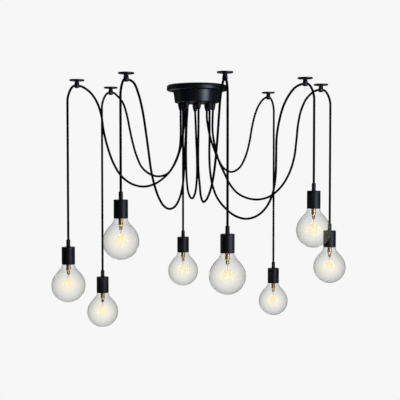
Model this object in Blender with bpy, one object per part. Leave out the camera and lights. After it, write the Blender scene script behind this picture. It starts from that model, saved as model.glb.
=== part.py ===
"""Spider pendant light: a stepped canopy, eight cords swagged over ceiling hooks, and bare globe lamps.

Lengths are in metres and +Z is up. The origin is the canopy's centre on the ceiling plane. +X runs to the
right and +Y away from the viewer. Heights under the ceiling are negative.
"""

import math

import bmesh
import bpy
import numpy as np
from mathutils import Matrix, Vector

# Clearances, the share of them within which points are one, and the turn that makes an edge sharp in degrees
GAP = 0.0003
OVERRUN = 0.002
WELD_SHARE = 0.01
SHARP_TURN = 35

# Canopy pan, the wide upper tier
PAN_RADIUS = 0.090
PAN_DEPTH = 0.018
PAN_WALL = 0.0012
PAN_TOP_ROUND = 0.006
PAN_BOTTOM_ROUND = 0.005
PAN_COLLAR_DEPTH = 0.005

# Canopy cup, the narrow lower tier
CUP_TOP_RADIUS = 0.0705
CUP_TAPER = 0.0045
CUP_DEPTH = 0.0352
CUP_WALL = 0.0012
CUP_BOTTOM_ROUND = 0.004

# Mounting strap on the ceiling, with its stud, and the cap nut that holds the canopy up
STRAP_END_CLEARANCE = 0.0085
STRAP_WIDTH = 0.024
STRAP_THICKNESS = 0.0025
STRAP_CORNER = 0.006
STRAP_SLOT_WIDTH = 0.004
STRAP_SLOT_LENGTH = 0.016
STRAP_SLOT_FROM_END = 0.020
STUD_RADIUS = 0.004
STUD_ROOT = 0.0005
CAP_NUT_RADIUS = 0.009
CAP_NUT_HEIGHT = 0.011
CAP_NUT_CROWN = 0.003

# Cord glands, in a ring under the cup
GLAND_EDGE = 0.0175
GLAND_FIRST_BEARING = 6.2
GLAND_TOP_RADIUS = 0.0081
GLAND_COLLAR = 0.007
GLAND_LENGTH = 0.021
GLAND_TIP_WALL = 0.0012
GLAND_SHANK_WALL = 0.0014
GLAND_SHANK_LENGTH = 0.0095
GLAND_NUT_RADIUS = 0.008
GLAND_NUT_HEIGHT = 0.004

# Ceiling hooks
HOOK_PLATE_RADIUS = 0.021
HOOK_PLATE_THICKNESS = 0.004
HOOK_PLATE_ROUND = 0.0015
HOOK_NECK_RADIUS = 0.0058
HOOK_POST_RADIUS = 0.007
HOOK_SWELL = 0.0125
HOOK_DROP = 0.0240
HOOK_POST_ROUND = 0.003
HOOK_HOLE_FALL = 0.0175

# Cords
CORD_RADIUS = 0.0033
CORD_BORE_CLEARANCE = 0.0003
CORD_STEP_DIAMETERS = 3
CORD_TAIL = 0.006
HOOK_STRAIGHT = 0.0078
HOOK_FACE = 0.0068
ARCH_REACH = 0.028
ARCH_FALL = 0.0457
ARCH_STEP_DIAMETERS = 1.5

# Lamp holders, each with a slim cord grip on top and a socket for the lamp's cap inside
GRIP_RADIUS = 0.00565
GRIP_LENGTH = 0.0205
GRIP_TAPER = 0.0035
GRIP_MOUTH_WALL = 0.0014
HOLDER_RADIUS = 0.0185
HOLDER_LENGTH = 0.0485
HOLDER_WALL = 0.0012
HOLDER_ROUND = 0.0012
CORD_WELL_DEPTH = 0.010
SOCKET_FLOOR = 0.0043
SOCKET_LENGTH = 0.036

# Globe lamps
LAMP_CAP_RADIUS = 0.0132
LAMP_CAP_LENGTH = 0.019
LAMP_CAP_CLEARANCE = 0.0003
LAMP_CONTACT_RADIUS = 0.0045
LAMP_CONTACT_HEIGHT = 0.0015
LAMP_INSULATOR_HEIGHT = 0.0035
GLOBE_RADIUS = 0.0475
GLOBE_MIDDLE = 0.0597
GLASS_WALL = 0.0008
NECK_CLEARANCE = 0.0004
STEM_RADIUS = 0.0065
STEM_LENGTH = 0.0275
STEM_TIP_RADIUS = 0.005
STEM_TIP_LENGTH = 0.012
WIRE_RADIUS = 0.0008
WIRE_LENGTH = 0.010

# Where the lamps hang: the furthest hook from the centre, and the lowest holder's top under the ceiling
HOOK_SPREAD = 0.385
LOWEST_HOLDER = 0.584

# Sides of the round pieces, and steps of their roundings
PAN_SIDES = 32
STUD_SIDES = 10
GLAND_SIDES = 10
HOOK_SIDES = 12
HOOK_HOLE_SIDES = 8
HOLDER_SIDES = 12
LAMP_BASE_SIDES = 10
GLOBE_SIDES = 12
ARC_STEPS = 2
CURVE_STEPS = 12
GLOBE_STEPS = 4

# Each pendant: its gland's place in the ring, its hook's bearing in degrees and share of the spread, and its
# holder's share of the lowest holder's depth.
PENDANT_SHARES = {
    1: (4, 205.6, 0.966, 0.803),
    2: (3, 166.8, 0.704, 1.0),
    3: (5, 241.8, 1.0, 0.563),
    4: (2, 105.2, 0.344, 0.800),
    5: (6, 281.6, 0.953, 0.712),
    6: (1, 45.3, 0.859, 0.992),
    7: (7, 323.9, 0.956, 0.530),
    8: (0, 355.2, 0.956, 0.742),
}

# Each cord's route from its gland to its hook: the share of the way, and the fall under the ceiling.
ROUTES = {
    1: [
        (0.0, 0.110), (0.0, 0.155), (0.015, 0.195), (0.046, 0.223), (0.102, 0.254), (0.186, 0.280),
        (0.285, 0.297), (0.380, 0.302), (0.480, 0.295), (0.580, 0.274), (0.658, 0.238), (0.718, 0.189),
        (0.757, 0.140), (0.779, 0.095), (0.819, 0.060), (0.870, 0.037), (0.929, 0.023),
    ],
    2: [
        (0.0, 0.100), (0.012, 0.135), (0.036, 0.172), (0.080, 0.208), (0.148, 0.242), (0.230, 0.265),
        (0.340, 0.273), (0.460, 0.267), (0.571, 0.247), (0.645, 0.213), (0.698, 0.173), (0.742, 0.128),
        (0.784, 0.082), (0.837, 0.047), (0.915, 0.026),
    ],
    3: [
        (0.0, 0.100), (0.010, 0.140), (0.025, 0.190), (0.042, 0.245), (0.074, 0.301), (0.143, 0.341),
        (0.224, 0.360), (0.314, 0.364), (0.405, 0.355), (0.486, 0.333), (0.560, 0.298), (0.618, 0.255),
        (0.660, 0.203), (0.706, 0.145), (0.759, 0.089), (0.819, 0.049), (0.884, 0.024),
    ],
    4: [
        (-0.050, 0.110), (-0.110, 0.160), (-0.180, 0.210), (-0.200, 0.255), (-0.140, 0.294), (0.020, 0.326),
        (0.280, 0.341), (0.530, 0.338), (0.770, 0.320), (0.905, 0.287), (0.965, 0.245), (0.985, 0.194),
        (0.955, 0.144), (0.890, 0.098), (0.810, 0.060), (0.785, 0.036), (0.845, 0.021),
    ],
    5: [
        (0.0, 0.110), (-0.005, 0.150), (-0.015, 0.200), (-0.005, 0.250), (0.052, 0.298), (0.105, 0.331),
        (0.200, 0.345), (0.285, 0.341), (0.414, 0.324), (0.543, 0.292), (0.638, 0.250), (0.703, 0.203),
        (0.758, 0.152), (0.799, 0.106), (0.840, 0.066), (0.895, 0.037),
    ],
    6: [
        (0.0, 0.095), (0.016, 0.120), (0.046, 0.150), (0.098, 0.183), (0.167, 0.217), (0.261, 0.248),
        (0.380, 0.260), (0.513, 0.247), (0.610, 0.213), (0.676, 0.168), (0.721, 0.118), (0.771, 0.077),
        (0.837, 0.045), (0.912, 0.025),
    ],
    7: [
        (0.0, 0.110), (0.0, 0.160), (-0.002, 0.210), (0.006, 0.255), (0.031, 0.296), (0.084, 0.334),
        (0.180, 0.366), (0.287, 0.387), (0.405, 0.394), (0.531, 0.382), (0.624, 0.355), (0.683, 0.317),
        (0.710, 0.268), (0.715, 0.215), (0.720, 0.160), (0.748, 0.112), (0.788, 0.074), (0.843, 0.045),
        (0.911, 0.024),
    ],
    8: [
        (-0.003, 0.105), (-0.002, 0.140), (0.018, 0.180), (0.055, 0.225), (0.108, 0.263), (0.160, 0.296),
        (0.228, 0.322), (0.317, 0.337), (0.415, 0.342), (0.523, 0.334), (0.626, 0.308), (0.706, 0.268),
        (0.757, 0.218), (0.778, 0.165), (0.794, 0.115), (0.827, 0.070), (0.882, 0.037),
    ],
}

# Each cord's arch past its hook: shares of its reach and of its fall under the hook's hole.
ARCH_SHARES = (
    (0.46, 0.075), (0.635, 0.205), (0.795, 0.40), (0.915, 0.61), (0.98, 0.80), (1.0, 0.92), (1.0, 1.0),
)

# The globe's flare from its neck to its middle: shares of the way down and of its radius.
SHOULDER_SHARES = ((0.142, 0.421), (0.265, 0.526), (0.400, 0.684), (0.620, 0.878))

# The ball on the end of a hanging cord: the angles of its rings above its middle.
BALL_ANGLES = (70, 38, 0)


def around(clear_radius, sides):
    """The corner radius of a many-sided bore whose flats stay clear of a round of this radius."""
    return clear_radius / math.cos(math.pi / sides)


# Levels and sizes that follow from the ones above
CUP_TOP = -PAN_DEPTH - GAP
CUP_FLOOR = CUP_TOP - CUP_DEPTH
CUP_BOTTOM_RADIUS = CUP_TOP_RADIUS - CUP_TAPER
NUT_TOP = CUP_FLOOR - GAP
NUT_BOTTOM = NUT_TOP - CAP_NUT_HEIGHT
STUD_BOTTOM = NUT_BOTTOM + CAP_NUT_CROWN + GAP
STRAP_HALF = PAN_RADIUS - PAN_TOP_ROUND - STRAP_END_CLEARANCE
GLAND_RING_RADIUS = CUP_BOTTOM_RADIUS - GLAND_EDGE
GLAND_BORE = around(CORD_RADIUS + CORD_BORE_CLEARANCE, GLAND_SIDES)
GLAND_SHANK_RADIUS = GLAND_BORE + GLAND_SHANK_WALL
GLAND_TOP = CUP_FLOOR - GAP
GLAND_TIP = GLAND_TOP - GLAND_LENGTH
GLAND_NUT_BOTTOM = CUP_FLOOR + CUP_WALL + GAP
GLAND_NUT_TOP = GLAND_NUT_BOTTOM + GLAND_NUT_HEIGHT
GLAND_SHANK_TOP = GLAND_TOP + GLAND_SHANK_LENGTH
SWAG_END = -HOOK_HOLE_FALL - ARCH_FALL
PIVOT = SWAG_END - GAP - CORD_RADIUS
GRIP_BORE = around(CORD_RADIUS + CORD_BORE_CLEARANCE, HOLDER_SIDES)
HOLDER_INSIDE = HOLDER_RADIUS - HOLDER_WALL
SOCKET_BORE = around(LAMP_CAP_RADIUS + LAMP_CAP_CLEARANCE, HOLDER_SIDES)
SOCKET_TOP = -CORD_WELL_DEPTH - SOCKET_FLOOR
LAMP_TOP = SOCKET_TOP - GAP
LAMP_CAP_TOP = LAMP_TOP - LAMP_CONTACT_HEIGHT - LAMP_INSULATOR_HEIGHT
LAMP_CAP_BOTTOM = LAMP_CAP_TOP - LAMP_CAP_LENGTH
NECK_RADIUS = HOLDER_INSIDE * math.cos(math.pi / HOLDER_SIDES) - NECK_CLEARANCE


class Pendant:
    """Where one pendant's gland, hook, pivot and holder lie, worked out from its shares."""

    def __init__(self, number):
        slot, bearing, spread_share, depth_share = PENDANT_SHARES[number]
        self.number = number
        gland_angle = math.radians(GLAND_FIRST_BEARING + slot * 360 / len(PENDANT_SHARES))
        hook_angle = math.radians(bearing)
        self.gland = GLAND_RING_RADIUS * Vector((math.cos(gland_angle), math.sin(gland_angle), 0.0))
        self.hook = HOOK_SPREAD * spread_share * Vector((math.cos(hook_angle), math.sin(hook_angle), 0.0))
        self.way = (self.hook - self.gland).normalized()
        self.run = (self.hook - self.gland).length
        self.turn = math.atan2(self.way.y, self.way.x)
        self.drop = self.hook + ARCH_REACH * self.way
        self.holder_top = -LOWEST_HOLDER * depth_share

    def on_swag(self, along, height):
        """The point this far from the gland towards the hook, at this height."""
        spot = self.gland + along * self.way
        return (spot.x, spot.y, height)


def clear_scene():
    """Remove every object of the scene that the file opens with."""
    for thing in list(bpy.data.objects):
        bpy.data.objects.remove(thing, do_unlink=True)


def finish(name, colour, roughness, metallic=0.0, alpha=1.0):
    """A plain material of one colour."""
    material = bpy.data.materials.new(name)
    material.use_nodes = True
    shader = material.node_tree.nodes["Principled BSDF"]
    shader.inputs["Base Color"].default_value = (*colour, 1.0)
    shader.inputs["Roughness"].default_value = roughness
    shader.inputs["Metallic"].default_value = metallic
    shader.inputs["Alpha"].default_value = alpha
    material.diffuse_color = (*colour, alpha)
    return material


def finishes():
    """The materials by name."""
    return {
        "black metal": finish("satin_black_metal", (0.012, 0.013, 0.015), 0.38, 0.3),
        "black nylon": finish("black_nylon", (0.010, 0.010, 0.011), 0.5),
        "cord": finish("black_textile_cord", (0.008, 0.008, 0.009), 0.85),
        "steel": finish("zinc_plated_steel", (0.55, 0.56, 0.58), 0.35, 1.0),
        "brass": finish("brass", (0.65, 0.42, 0.14), 0.3, 1.0),
        "glass": finish("clear_glass", (0.90, 0.93, 0.90), 0.03, 0.0, 0.35),
    }


def add_piece(name, mesh, material, place=(0.0, 0.0, 0.0), parent=None):
    """Put a mesh in the scene as a named piece with its own material."""
    piece = bpy.data.objects.new(name, mesh)
    if not mesh.materials:
        mesh.materials.append(material)
    piece.location = place
    piece.parent = parent
    bpy.context.collection.objects.link(piece)
    return piece


def add_frame(name, place, parent=None):
    """Put an empty in the scene that marks a joint's place."""
    frame = bpy.data.objects.new(name, None)
    frame.location = place
    frame.parent = parent
    bpy.context.collection.objects.link(frame)
    return frame


def to_mesh(bm, name, smooth=True):
    """Close a bmesh up into a mesh with its faces pointing out."""
    bmesh.ops.remove_doubles(bm, verts=bm.verts, dist=GAP * WELD_SHARE)
    bmesh.ops.recalc_face_normals(bm, faces=bm.faces)
    mesh = bpy.data.meshes.new(name)
    bm.to_mesh(mesh)
    bm.free()
    if smooth:
        mesh.shade_smooth()
        mesh.set_sharp_from_angle(angle=math.radians(SHARP_TURN))
    return mesh


def turned(name, outline, sides, ring=False, smooth=True):
    """Turn an outline of (radius, height) points about the Z axis.

    A ring's outline closes on itself. Any other starts and ends on the axis.
    """
    bm = bmesh.new()
    verts = [bm.verts.new((radius, 0.0, height)) for radius, height in outline]
    edges = [bm.edges.new(pair) for pair in zip(verts, verts[1:])]
    if ring:
        edges.append(bm.edges.new((verts[-1], verts[0])))
    bmesh.ops.spin(
        bm, geom=verts + edges, axis=(0, 0, 1), cent=(0, 0, 0), angle=math.tau, steps=sides, use_merge=True
    )
    return to_mesh(bm, name, smooth)


def arc(centre, radius, start, end, steps):
    """Points along a round in a section, from one angle to another in degrees."""
    points = []
    for step in range(steps + 1):
        angle = math.radians(start + (end - start) * step / steps)
        points.append((centre[0] + radius * math.cos(angle), centre[1] + radius * math.sin(angle)))
    return points


def set_in(path, wall):
    """A section's path, moved inwards by the wall, with mitred corners."""
    points = [Vector(point) for point in path]
    normals = []
    for here, there in zip(points, points[1:]):
        way = (there - here).normalized()
        normals.append(Vector((way.y, -way.x)))
    moved = []
    for index, point in enumerate(points):
        before = normals[max(index - 1, 0)]
        after = normals[min(index, len(normals) - 1)]
        mitre = (before + after) / (1 + before.dot(after))
        moved.append(tuple(point + wall * mitre))
    return moved


def sheet(path, wall):
    """The closed outline of a sheet of this wall whose outer side follows the path."""
    return path + set_in(path, wall)[::-1]


def bar(name, axis, radius, start, end, sides, places=(Matrix(),)):
    """Straight round bars along a direction, one at each place, in one mesh."""
    bm = bmesh.new()
    turn = Vector((0, 0, 1)).rotation_difference(Vector(axis)).to_matrix().to_4x4()
    for place in places:
        made = bmesh.ops.create_cone(
            bm, cap_ends=True, segments=sides, radius1=radius, radius2=radius, depth=end - start
        )
        middle = Matrix.Translation((0, 0, (start + end) / 2))
        bmesh.ops.transform(bm, matrix=place @ turn @ middle, verts=made["verts"])
    return to_mesh(bm, name)


def cut(piece, cutter_name, mesh, place=(0.0, 0.0, 0.0), turn=0.0):
    """Cut a piece with a hidden cutter."""
    cutter = bpy.data.objects.new(cutter_name, mesh)
    cutter.location = place
    cutter.rotation_euler.z = turn
    cutter.hide_render = True
    cutter.display_type = "WIRE"
    bpy.context.collection.objects.link(cutter)
    modifier = piece.modifiers.new(cutter_name, "BOOLEAN")
    modifier.operation = "DIFFERENCE"
    modifier.object = cutter


def smooth_curve(points):
    """Close points along the smooth curve through these ones, whose speed follows their spacing."""
    spots = np.array(points, float)
    spans = np.linalg.norm(np.diff(spots, axis=0), axis=1)
    slopes = np.diff(spots, axis=0) / spans[:, None]
    tangents = [slopes[0]]
    for index in range(1, len(spots) - 1):
        before, after = spans[index - 1], spans[index]
        tangents.append((slopes[index - 1] * after + slopes[index] * before) / (before + after))
    tangents.append(slopes[-1])
    curve = []
    for index, span in enumerate(spans):
        for step in range(CURVE_STEPS):
            t = step / CURVE_STEPS
            curve.append(
                (2 * t**3 - 3 * t**2 + 1) * spots[index]
                + (t**3 - 2 * t**2 + t) * span * tangents[index]
                + (3 * t**2 - 2 * t**3) * spots[index + 1]
                + (t**3 - t**2) * span * tangents[index + 1]
            )
    curve.append(spots[-1])
    return np.array(curve)


def evenly(curve, step):
    """Points along a curve, at most a step apart and all the same way apart."""
    lengths = np.concatenate([[0.0], np.cumsum(np.linalg.norm(np.diff(curve, axis=0), axis=1))])
    marks = np.linspace(0.0, lengths[-1], math.ceil(lengths[-1] / step) + 1)
    return np.stack([np.interp(marks, lengths, curve[:, axis]) for axis in range(3)], axis=1)


def cord_tube(name, points, material, thickness_shares=None, parent=None):
    """A round cord along points, as a curve with a bevel and filled ends."""
    data = bpy.data.curves.new(name, "CURVE")
    data.dimensions = "3D"
    data.twist_mode = "MINIMUM"
    data.bevel_depth = CORD_RADIUS
    data.bevel_resolution = 2
    data.use_fill_caps = True
    spline = data.splines.new("POLY")
    spline.points.add(len(points) - 1)
    for index, point in enumerate(points):
        spline.points[index].co = (*point, 1.0)
        if thickness_shares:
            spline.points[index].radius = thickness_shares[index]
    data.materials.append(material)
    piece = bpy.data.objects.new(name, data)
    piece.parent = parent
    bpy.context.collection.objects.link(piece)
    return piece


def make_canopy(looks, pendants):
    """The two tiers of the canopy, with the cup's gland holes."""
    cup_slope = CUP_TAPER / CUP_DEPTH
    cup_inside = around(CUP_TOP_RADIUS - CUP_WALL - cup_slope * PAN_COLLAR_DEPTH, PAN_SIDES)
    collar_radius = cup_inside * math.cos(math.pi / PAN_SIDES) ** 2 - GAP
    path = (
        arc((PAN_RADIUS - PAN_TOP_ROUND, -PAN_TOP_ROUND), PAN_TOP_ROUND, 90, 0, ARC_STEPS)
        + arc(
            (PAN_RADIUS - PAN_BOTTOM_ROUND, PAN_BOTTOM_ROUND - PAN_DEPTH),
            PAN_BOTTOM_ROUND, 0, -90, ARC_STEPS,
        )
        + [(collar_radius, -PAN_DEPTH), (collar_radius, -PAN_DEPTH - PAN_COLLAR_DEPTH)]
    )
    pan = turned("canopy_pan", sheet(path, PAN_WALL), PAN_SIDES, ring=True)
    add_piece("canopy_pan", pan, looks["black metal"])

    path = (
        [(CUP_TOP_RADIUS, CUP_TOP)]
        + arc(
            (CUP_BOTTOM_RADIUS - CUP_BOTTOM_ROUND, CUP_FLOOR + CUP_BOTTOM_ROUND),
            CUP_BOTTOM_ROUND, 0, -90, ARC_STEPS,
        )
        + [(around(STUD_RADIUS + GAP, PAN_SIDES), CUP_FLOOR)]
    )
    shell = turned("canopy_cup", sheet(path, CUP_WALL), PAN_SIDES, ring=True)
    cup = add_piece("canopy_cup", shell, looks["black metal"])
    holes = bar(
        "gland_hole_cutter",
        (0, 0, 1),
        around(GLAND_SHANK_RADIUS + GAP, GLAND_SIDES),
        CUP_FLOOR - OVERRUN,
        CUP_FLOOR + CUP_WALL + OVERRUN,
        GLAND_SIDES,
        [Matrix.Translation(pendant.gland) for pendant in pendants],
    )
    cut(cup, "gland_hole_cutter", holes)


def make_strap(looks):
    """The strap that screws to the ceiling, with its stud, and the cap nut under the cup."""
    bm = bmesh.new()
    bmesh.ops.create_cube(bm, size=1.0)
    bmesh.ops.scale(bm, vec=(2 * STRAP_HALF, STRAP_WIDTH, STRAP_THICKNESS), verts=bm.verts)
    bmesh.ops.translate(bm, vec=(0, 0, -STRAP_THICKNESS / 2), verts=bm.verts)
    corners = [edge for edge in bm.edges if abs(edge.verts[0].co.z - edge.verts[1].co.z) > GAP]
    bmesh.ops.bevel(
        bm, geom=corners, offset=STRAP_CORNER, segments=ARC_STEPS, profile=0.5, affect="EDGES", material=-1
    )
    strap = add_piece("mounting_strap", to_mesh(bm, "mounting_strap", smooth=False), looks["steel"])
    for end, side in (("left", -1), ("right", 1)):
        bottom = -STRAP_THICKNESS - OVERRUN
        slot = bar("slot_cutter", (0, 0, 1), STRAP_SLOT_WIDTH / 2, bottom, OVERRUN, STUD_SIDES)
        for vert in slot.vertices:
            vert.co.x += math.copysign((STRAP_SLOT_LENGTH - STRAP_SLOT_WIDTH) / 2, vert.co.x)
        cut(strap, f"{end}_slot_cutter", slot, (side * (STRAP_HALF - STRAP_SLOT_FROM_END), 0, 0))
    stud = bpy.data.objects.new(
        "stud_form",
        bar("stud_form", (0, 0, 1), STUD_RADIUS, STUD_BOTTOM, STUD_ROOT - STRAP_THICKNESS, STUD_SIDES),
    )
    stud.hide_render = True
    stud.display_type = "WIRE"
    bpy.context.collection.objects.link(stud)
    union = strap.modifiers.new("stud", "BOOLEAN")
    union.operation = "UNION"
    union.object = stud

    bore = around(STUD_RADIUS + GAP, STUD_SIDES)
    outline = [
        (0.0, STUD_BOTTOM - GAP), (bore, STUD_BOTTOM - GAP), (bore, NUT_TOP), (CAP_NUT_RADIUS, NUT_TOP),
        (CAP_NUT_RADIUS, NUT_BOTTOM + CAP_NUT_CROWN), (CAP_NUT_RADIUS - CAP_NUT_CROWN, NUT_BOTTOM),
        (0.0, NUT_BOTTOM),
    ]
    add_piece("cap_nut", turned("cap_nut", outline, STUD_SIDES), looks["black metal"])


def make_glands(looks, pendants):
    """The conical glands under the cup, each with the nut that holds it from inside."""
    tip = GLAND_BORE + GLAND_TIP_WALL
    outline = [
        (GLAND_BORE, GLAND_SHANK_TOP), (GLAND_SHANK_RADIUS, GLAND_SHANK_TOP),
        (GLAND_SHANK_RADIUS, GLAND_NUT_TOP), (GLAND_NUT_RADIUS, GLAND_NUT_TOP),
        (GLAND_NUT_RADIUS, GLAND_NUT_BOTTOM), (GLAND_SHANK_RADIUS, GLAND_NUT_BOTTOM),
        (GLAND_SHANK_RADIUS, GLAND_TOP), (GLAND_TOP_RADIUS, GLAND_TOP),
        (GLAND_TOP_RADIUS, GLAND_TOP - GLAND_COLLAR), (tip, GLAND_TIP), (GLAND_BORE, GLAND_TIP),
    ]
    gland = turned("cord_gland", outline, GLAND_SIDES, ring=True)
    for pendant in pendants:
        add_piece(f"cord_gland_{pendant.number}", gland, looks["black nylon"], pendant.gland)


def make_hooks(looks, pendants):
    """The ceiling hooks: a round plate with a short post, and a hole across the post for the cord."""
    outline = [
        (0.0, 0.0), (HOOK_PLATE_RADIUS, 0.0), (HOOK_PLATE_RADIUS, HOOK_PLATE_ROUND - HOOK_PLATE_THICKNESS),
        (HOOK_PLATE_RADIUS - HOOK_PLATE_ROUND, -HOOK_PLATE_THICKNESS),
        (HOOK_NECK_RADIUS, -HOOK_PLATE_THICKNESS), (HOOK_POST_RADIUS, -HOOK_SWELL),
        (HOOK_POST_RADIUS, HOOK_POST_ROUND - HOOK_DROP), (HOOK_POST_RADIUS - HOOK_POST_ROUND, -HOOK_DROP),
        (0.0, -HOOK_DROP),
    ]
    hook = turned("ceiling_hook", outline, HOOK_SIDES)
    across = HOOK_POST_RADIUS + OVERRUN
    bore = around(CORD_RADIUS + CORD_BORE_CLEARANCE, HOOK_HOLE_SIDES)
    hole = bar("cord_hole_cutter", (1, 0, 0), bore, -across, across, HOOK_HOLE_SIDES)
    for pendant in pendants:
        piece = add_piece(f"ceiling_hook_{pendant.number}", hook, looks["black metal"], pendant.hook)
        piece.rotation_euler.z = pendant.turn
        place = (pendant.hook.x, pendant.hook.y, -HOOK_HOLE_FALL)
        cut(piece, f"cord_hole_cutter_{pendant.number}", hole, place, pendant.turn)


def swag_points(pendant):
    """The points of a cord from inside its gland, up to its hook, through it and over to its joint."""
    route = [(0.0, GLAND_SHANK_TOP + CORD_TAIL), (0.0, GLAND_TIP)]
    route += [(share * pendant.run, -fall) for share, fall in ROUTES[pendant.number]]
    before_hook = CURVE_STEPS * len(route)
    for from_hook in (-HOOK_STRAIGHT, -HOOK_FACE, HOOK_FACE, HOOK_STRAIGHT):
        route.append((pendant.run + from_hook, -HOOK_HOLE_FALL))
    after_hook = CURVE_STEPS * (len(route) - 1)
    for reach_share, fall_share in ARCH_SHARES:
        route.append((pendant.run + reach_share * ARCH_REACH, -HOOK_HOLE_FALL - fall_share * ARCH_FALL))
    curve = smooth_curve([pendant.on_swag(along, height) for along, height in route])
    diameter = 2 * CORD_RADIUS
    swag = evenly(curve[: before_hook + 1], CORD_STEP_DIAMETERS * diameter)
    arch = evenly(curve[after_hook:], ARCH_STEP_DIAMETERS * diameter)
    return [*swag, *arch]


def make_cords(looks, pendants, frames):
    """Each cord's swag up to its joint, and the straight drop that swings under it."""
    rings = [math.radians(angle) for angle in BALL_ANGLES]
    for pendant in pendants:
        number = pendant.number
        cord_tube(f"swag_cord_{number}", swag_points(pendant), looks["cord"])
        end = pendant.holder_top - CORD_WELL_DEPTH + GAP - PIVOT
        heights = [CORD_RADIUS * math.sin(ring) for ring in rings] + [end / 2, end]
        thickness_shares = [math.cos(ring) for ring in rings] + [1.0, 1.0]
        points = [(0.0, 0.0, height) for height in heights]
        cord_tube(f"drop_cord_{number}", points, looks["cord"], thickness_shares, frames[number])


def holder_mesh():
    """The lamp holder in one section: the cord grip on top, the shell, and the socket inside it."""
    outline = (
        [
            (0.0, -CORD_WELL_DEPTH), (GRIP_BORE, -CORD_WELL_DEPTH), (GRIP_BORE, GRIP_LENGTH),
            (GRIP_BORE + GRIP_MOUTH_WALL, GRIP_LENGTH), (GRIP_RADIUS, GRIP_LENGTH - GRIP_TAPER),
            (GRIP_RADIUS, 0.0),
        ]
        + arc((HOLDER_RADIUS - HOLDER_ROUND, -HOLDER_ROUND), HOLDER_ROUND, 90, 0, 1)
        + [
            (HOLDER_RADIUS, -HOLDER_LENGTH), (HOLDER_INSIDE, -HOLDER_LENGTH),
            (HOLDER_INSIDE, -SOCKET_LENGTH), (SOCKET_BORE, -SOCKET_LENGTH), (SOCKET_BORE, SOCKET_TOP),
            (0.0, SOCKET_TOP),
        ]
    )
    return turned("lamp_holder", outline, HOLDER_SIDES)


def base_mesh():
    """The lamp's screw cap with its contact, and the stem that rises into the globe."""
    stem_end = LAMP_CAP_BOTTOM - STEM_LENGTH
    tip_end = stem_end - STEM_TIP_LENGTH
    outline = [
        (0.0, LAMP_TOP), (LAMP_CONTACT_RADIUS, LAMP_TOP),
        (LAMP_CONTACT_RADIUS, LAMP_TOP - LAMP_CONTACT_HEIGHT), (LAMP_CAP_RADIUS, LAMP_CAP_TOP),
        (LAMP_CAP_RADIUS, LAMP_CAP_BOTTOM), (STEM_RADIUS, LAMP_CAP_BOTTOM), (STEM_RADIUS, stem_end),
        (STEM_TIP_RADIUS, stem_end), (STEM_TIP_RADIUS, tip_end), (WIRE_RADIUS, tip_end),
        (WIRE_RADIUS, tip_end - WIRE_LENGTH), (0.0, tip_end - WIRE_LENGTH),
    ]
    return turned("lamp_base", outline, LAMP_BASE_SIDES)


def glass_mesh():
    """The blown globe: a neck on the cap that flares into a round belly, with one wall all over."""
    middle = -HOLDER_LENGTH - GLOBE_MIDDLE
    path = [(LAMP_CAP_RADIUS, LAMP_CAP_BOTTOM - GAP), (NECK_RADIUS, -HOLDER_LENGTH)]
    path += [(GLOBE_RADIUS * wide, -HOLDER_LENGTH - GLOBE_MIDDLE * deep) for deep, wide in SHOULDER_SHARES]
    path += arc((0.0, middle), GLOBE_RADIUS, 0, -90, GLOBE_STEPS)[:-1]
    path.append((0.0, middle - GLOBE_RADIUS))
    inside = set_in(path, GLASS_WALL)
    inside[-1] = (0.0, inside[-1][1])
    inside[0] = (inside[0][0], path[0][1])
    return turned("globe_glass", path[::-1] + inside, GLOBE_SIDES)


def make_pendants(looks, pendants, frames):
    """Each pendant's holder, and the lamp that screws into it."""
    holder = holder_mesh()
    base = base_mesh()
    glass = glass_mesh()
    for pendant in pendants:
        number = pendant.number
        level = (0.0, 0.0, pendant.holder_top - PIVOT)
        add_piece(f"lamp_holder_{number}", holder, looks["black metal"], level, frames[number])
        lamp = add_frame(f"lamp_axis_{number}", level, frames[number])
        add_piece(f"lamp_base_{number}", base, looks["brass"], parent=lamp)
        add_piece(f"lamp_globe_{number}", glass, looks["glass"], parent=lamp)


def main():
    """Build the whole light."""
    clear_scene()
    looks = finishes()
    pendants = [Pendant(number) for number in PENDANT_SHARES]
    frames = {
        pendant.number: add_frame(f"swing_axis_{pendant.number}", (pendant.drop.x, pendant.drop.y, PIVOT))
        for pendant in pendants
    }
    make_canopy(looks, pendants)
    make_strap(looks)
    make_glands(looks, pendants)
    make_hooks(looks, pendants)
    make_cords(looks, pendants, frames)
    make_pendants(looks, pendants, frames)


main()
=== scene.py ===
"""Spider pendant light in the studio: a stepped canopy, eight swagged cords, and bare globe lamps.

Lengths are in metres and +Z is up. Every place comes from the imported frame's own nodes.
"""

import sys
import logging
import math
from dataclasses import dataclass
from enum import Enum

import bmesh
import bpy
from mathutils import Matrix, Vector


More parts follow.
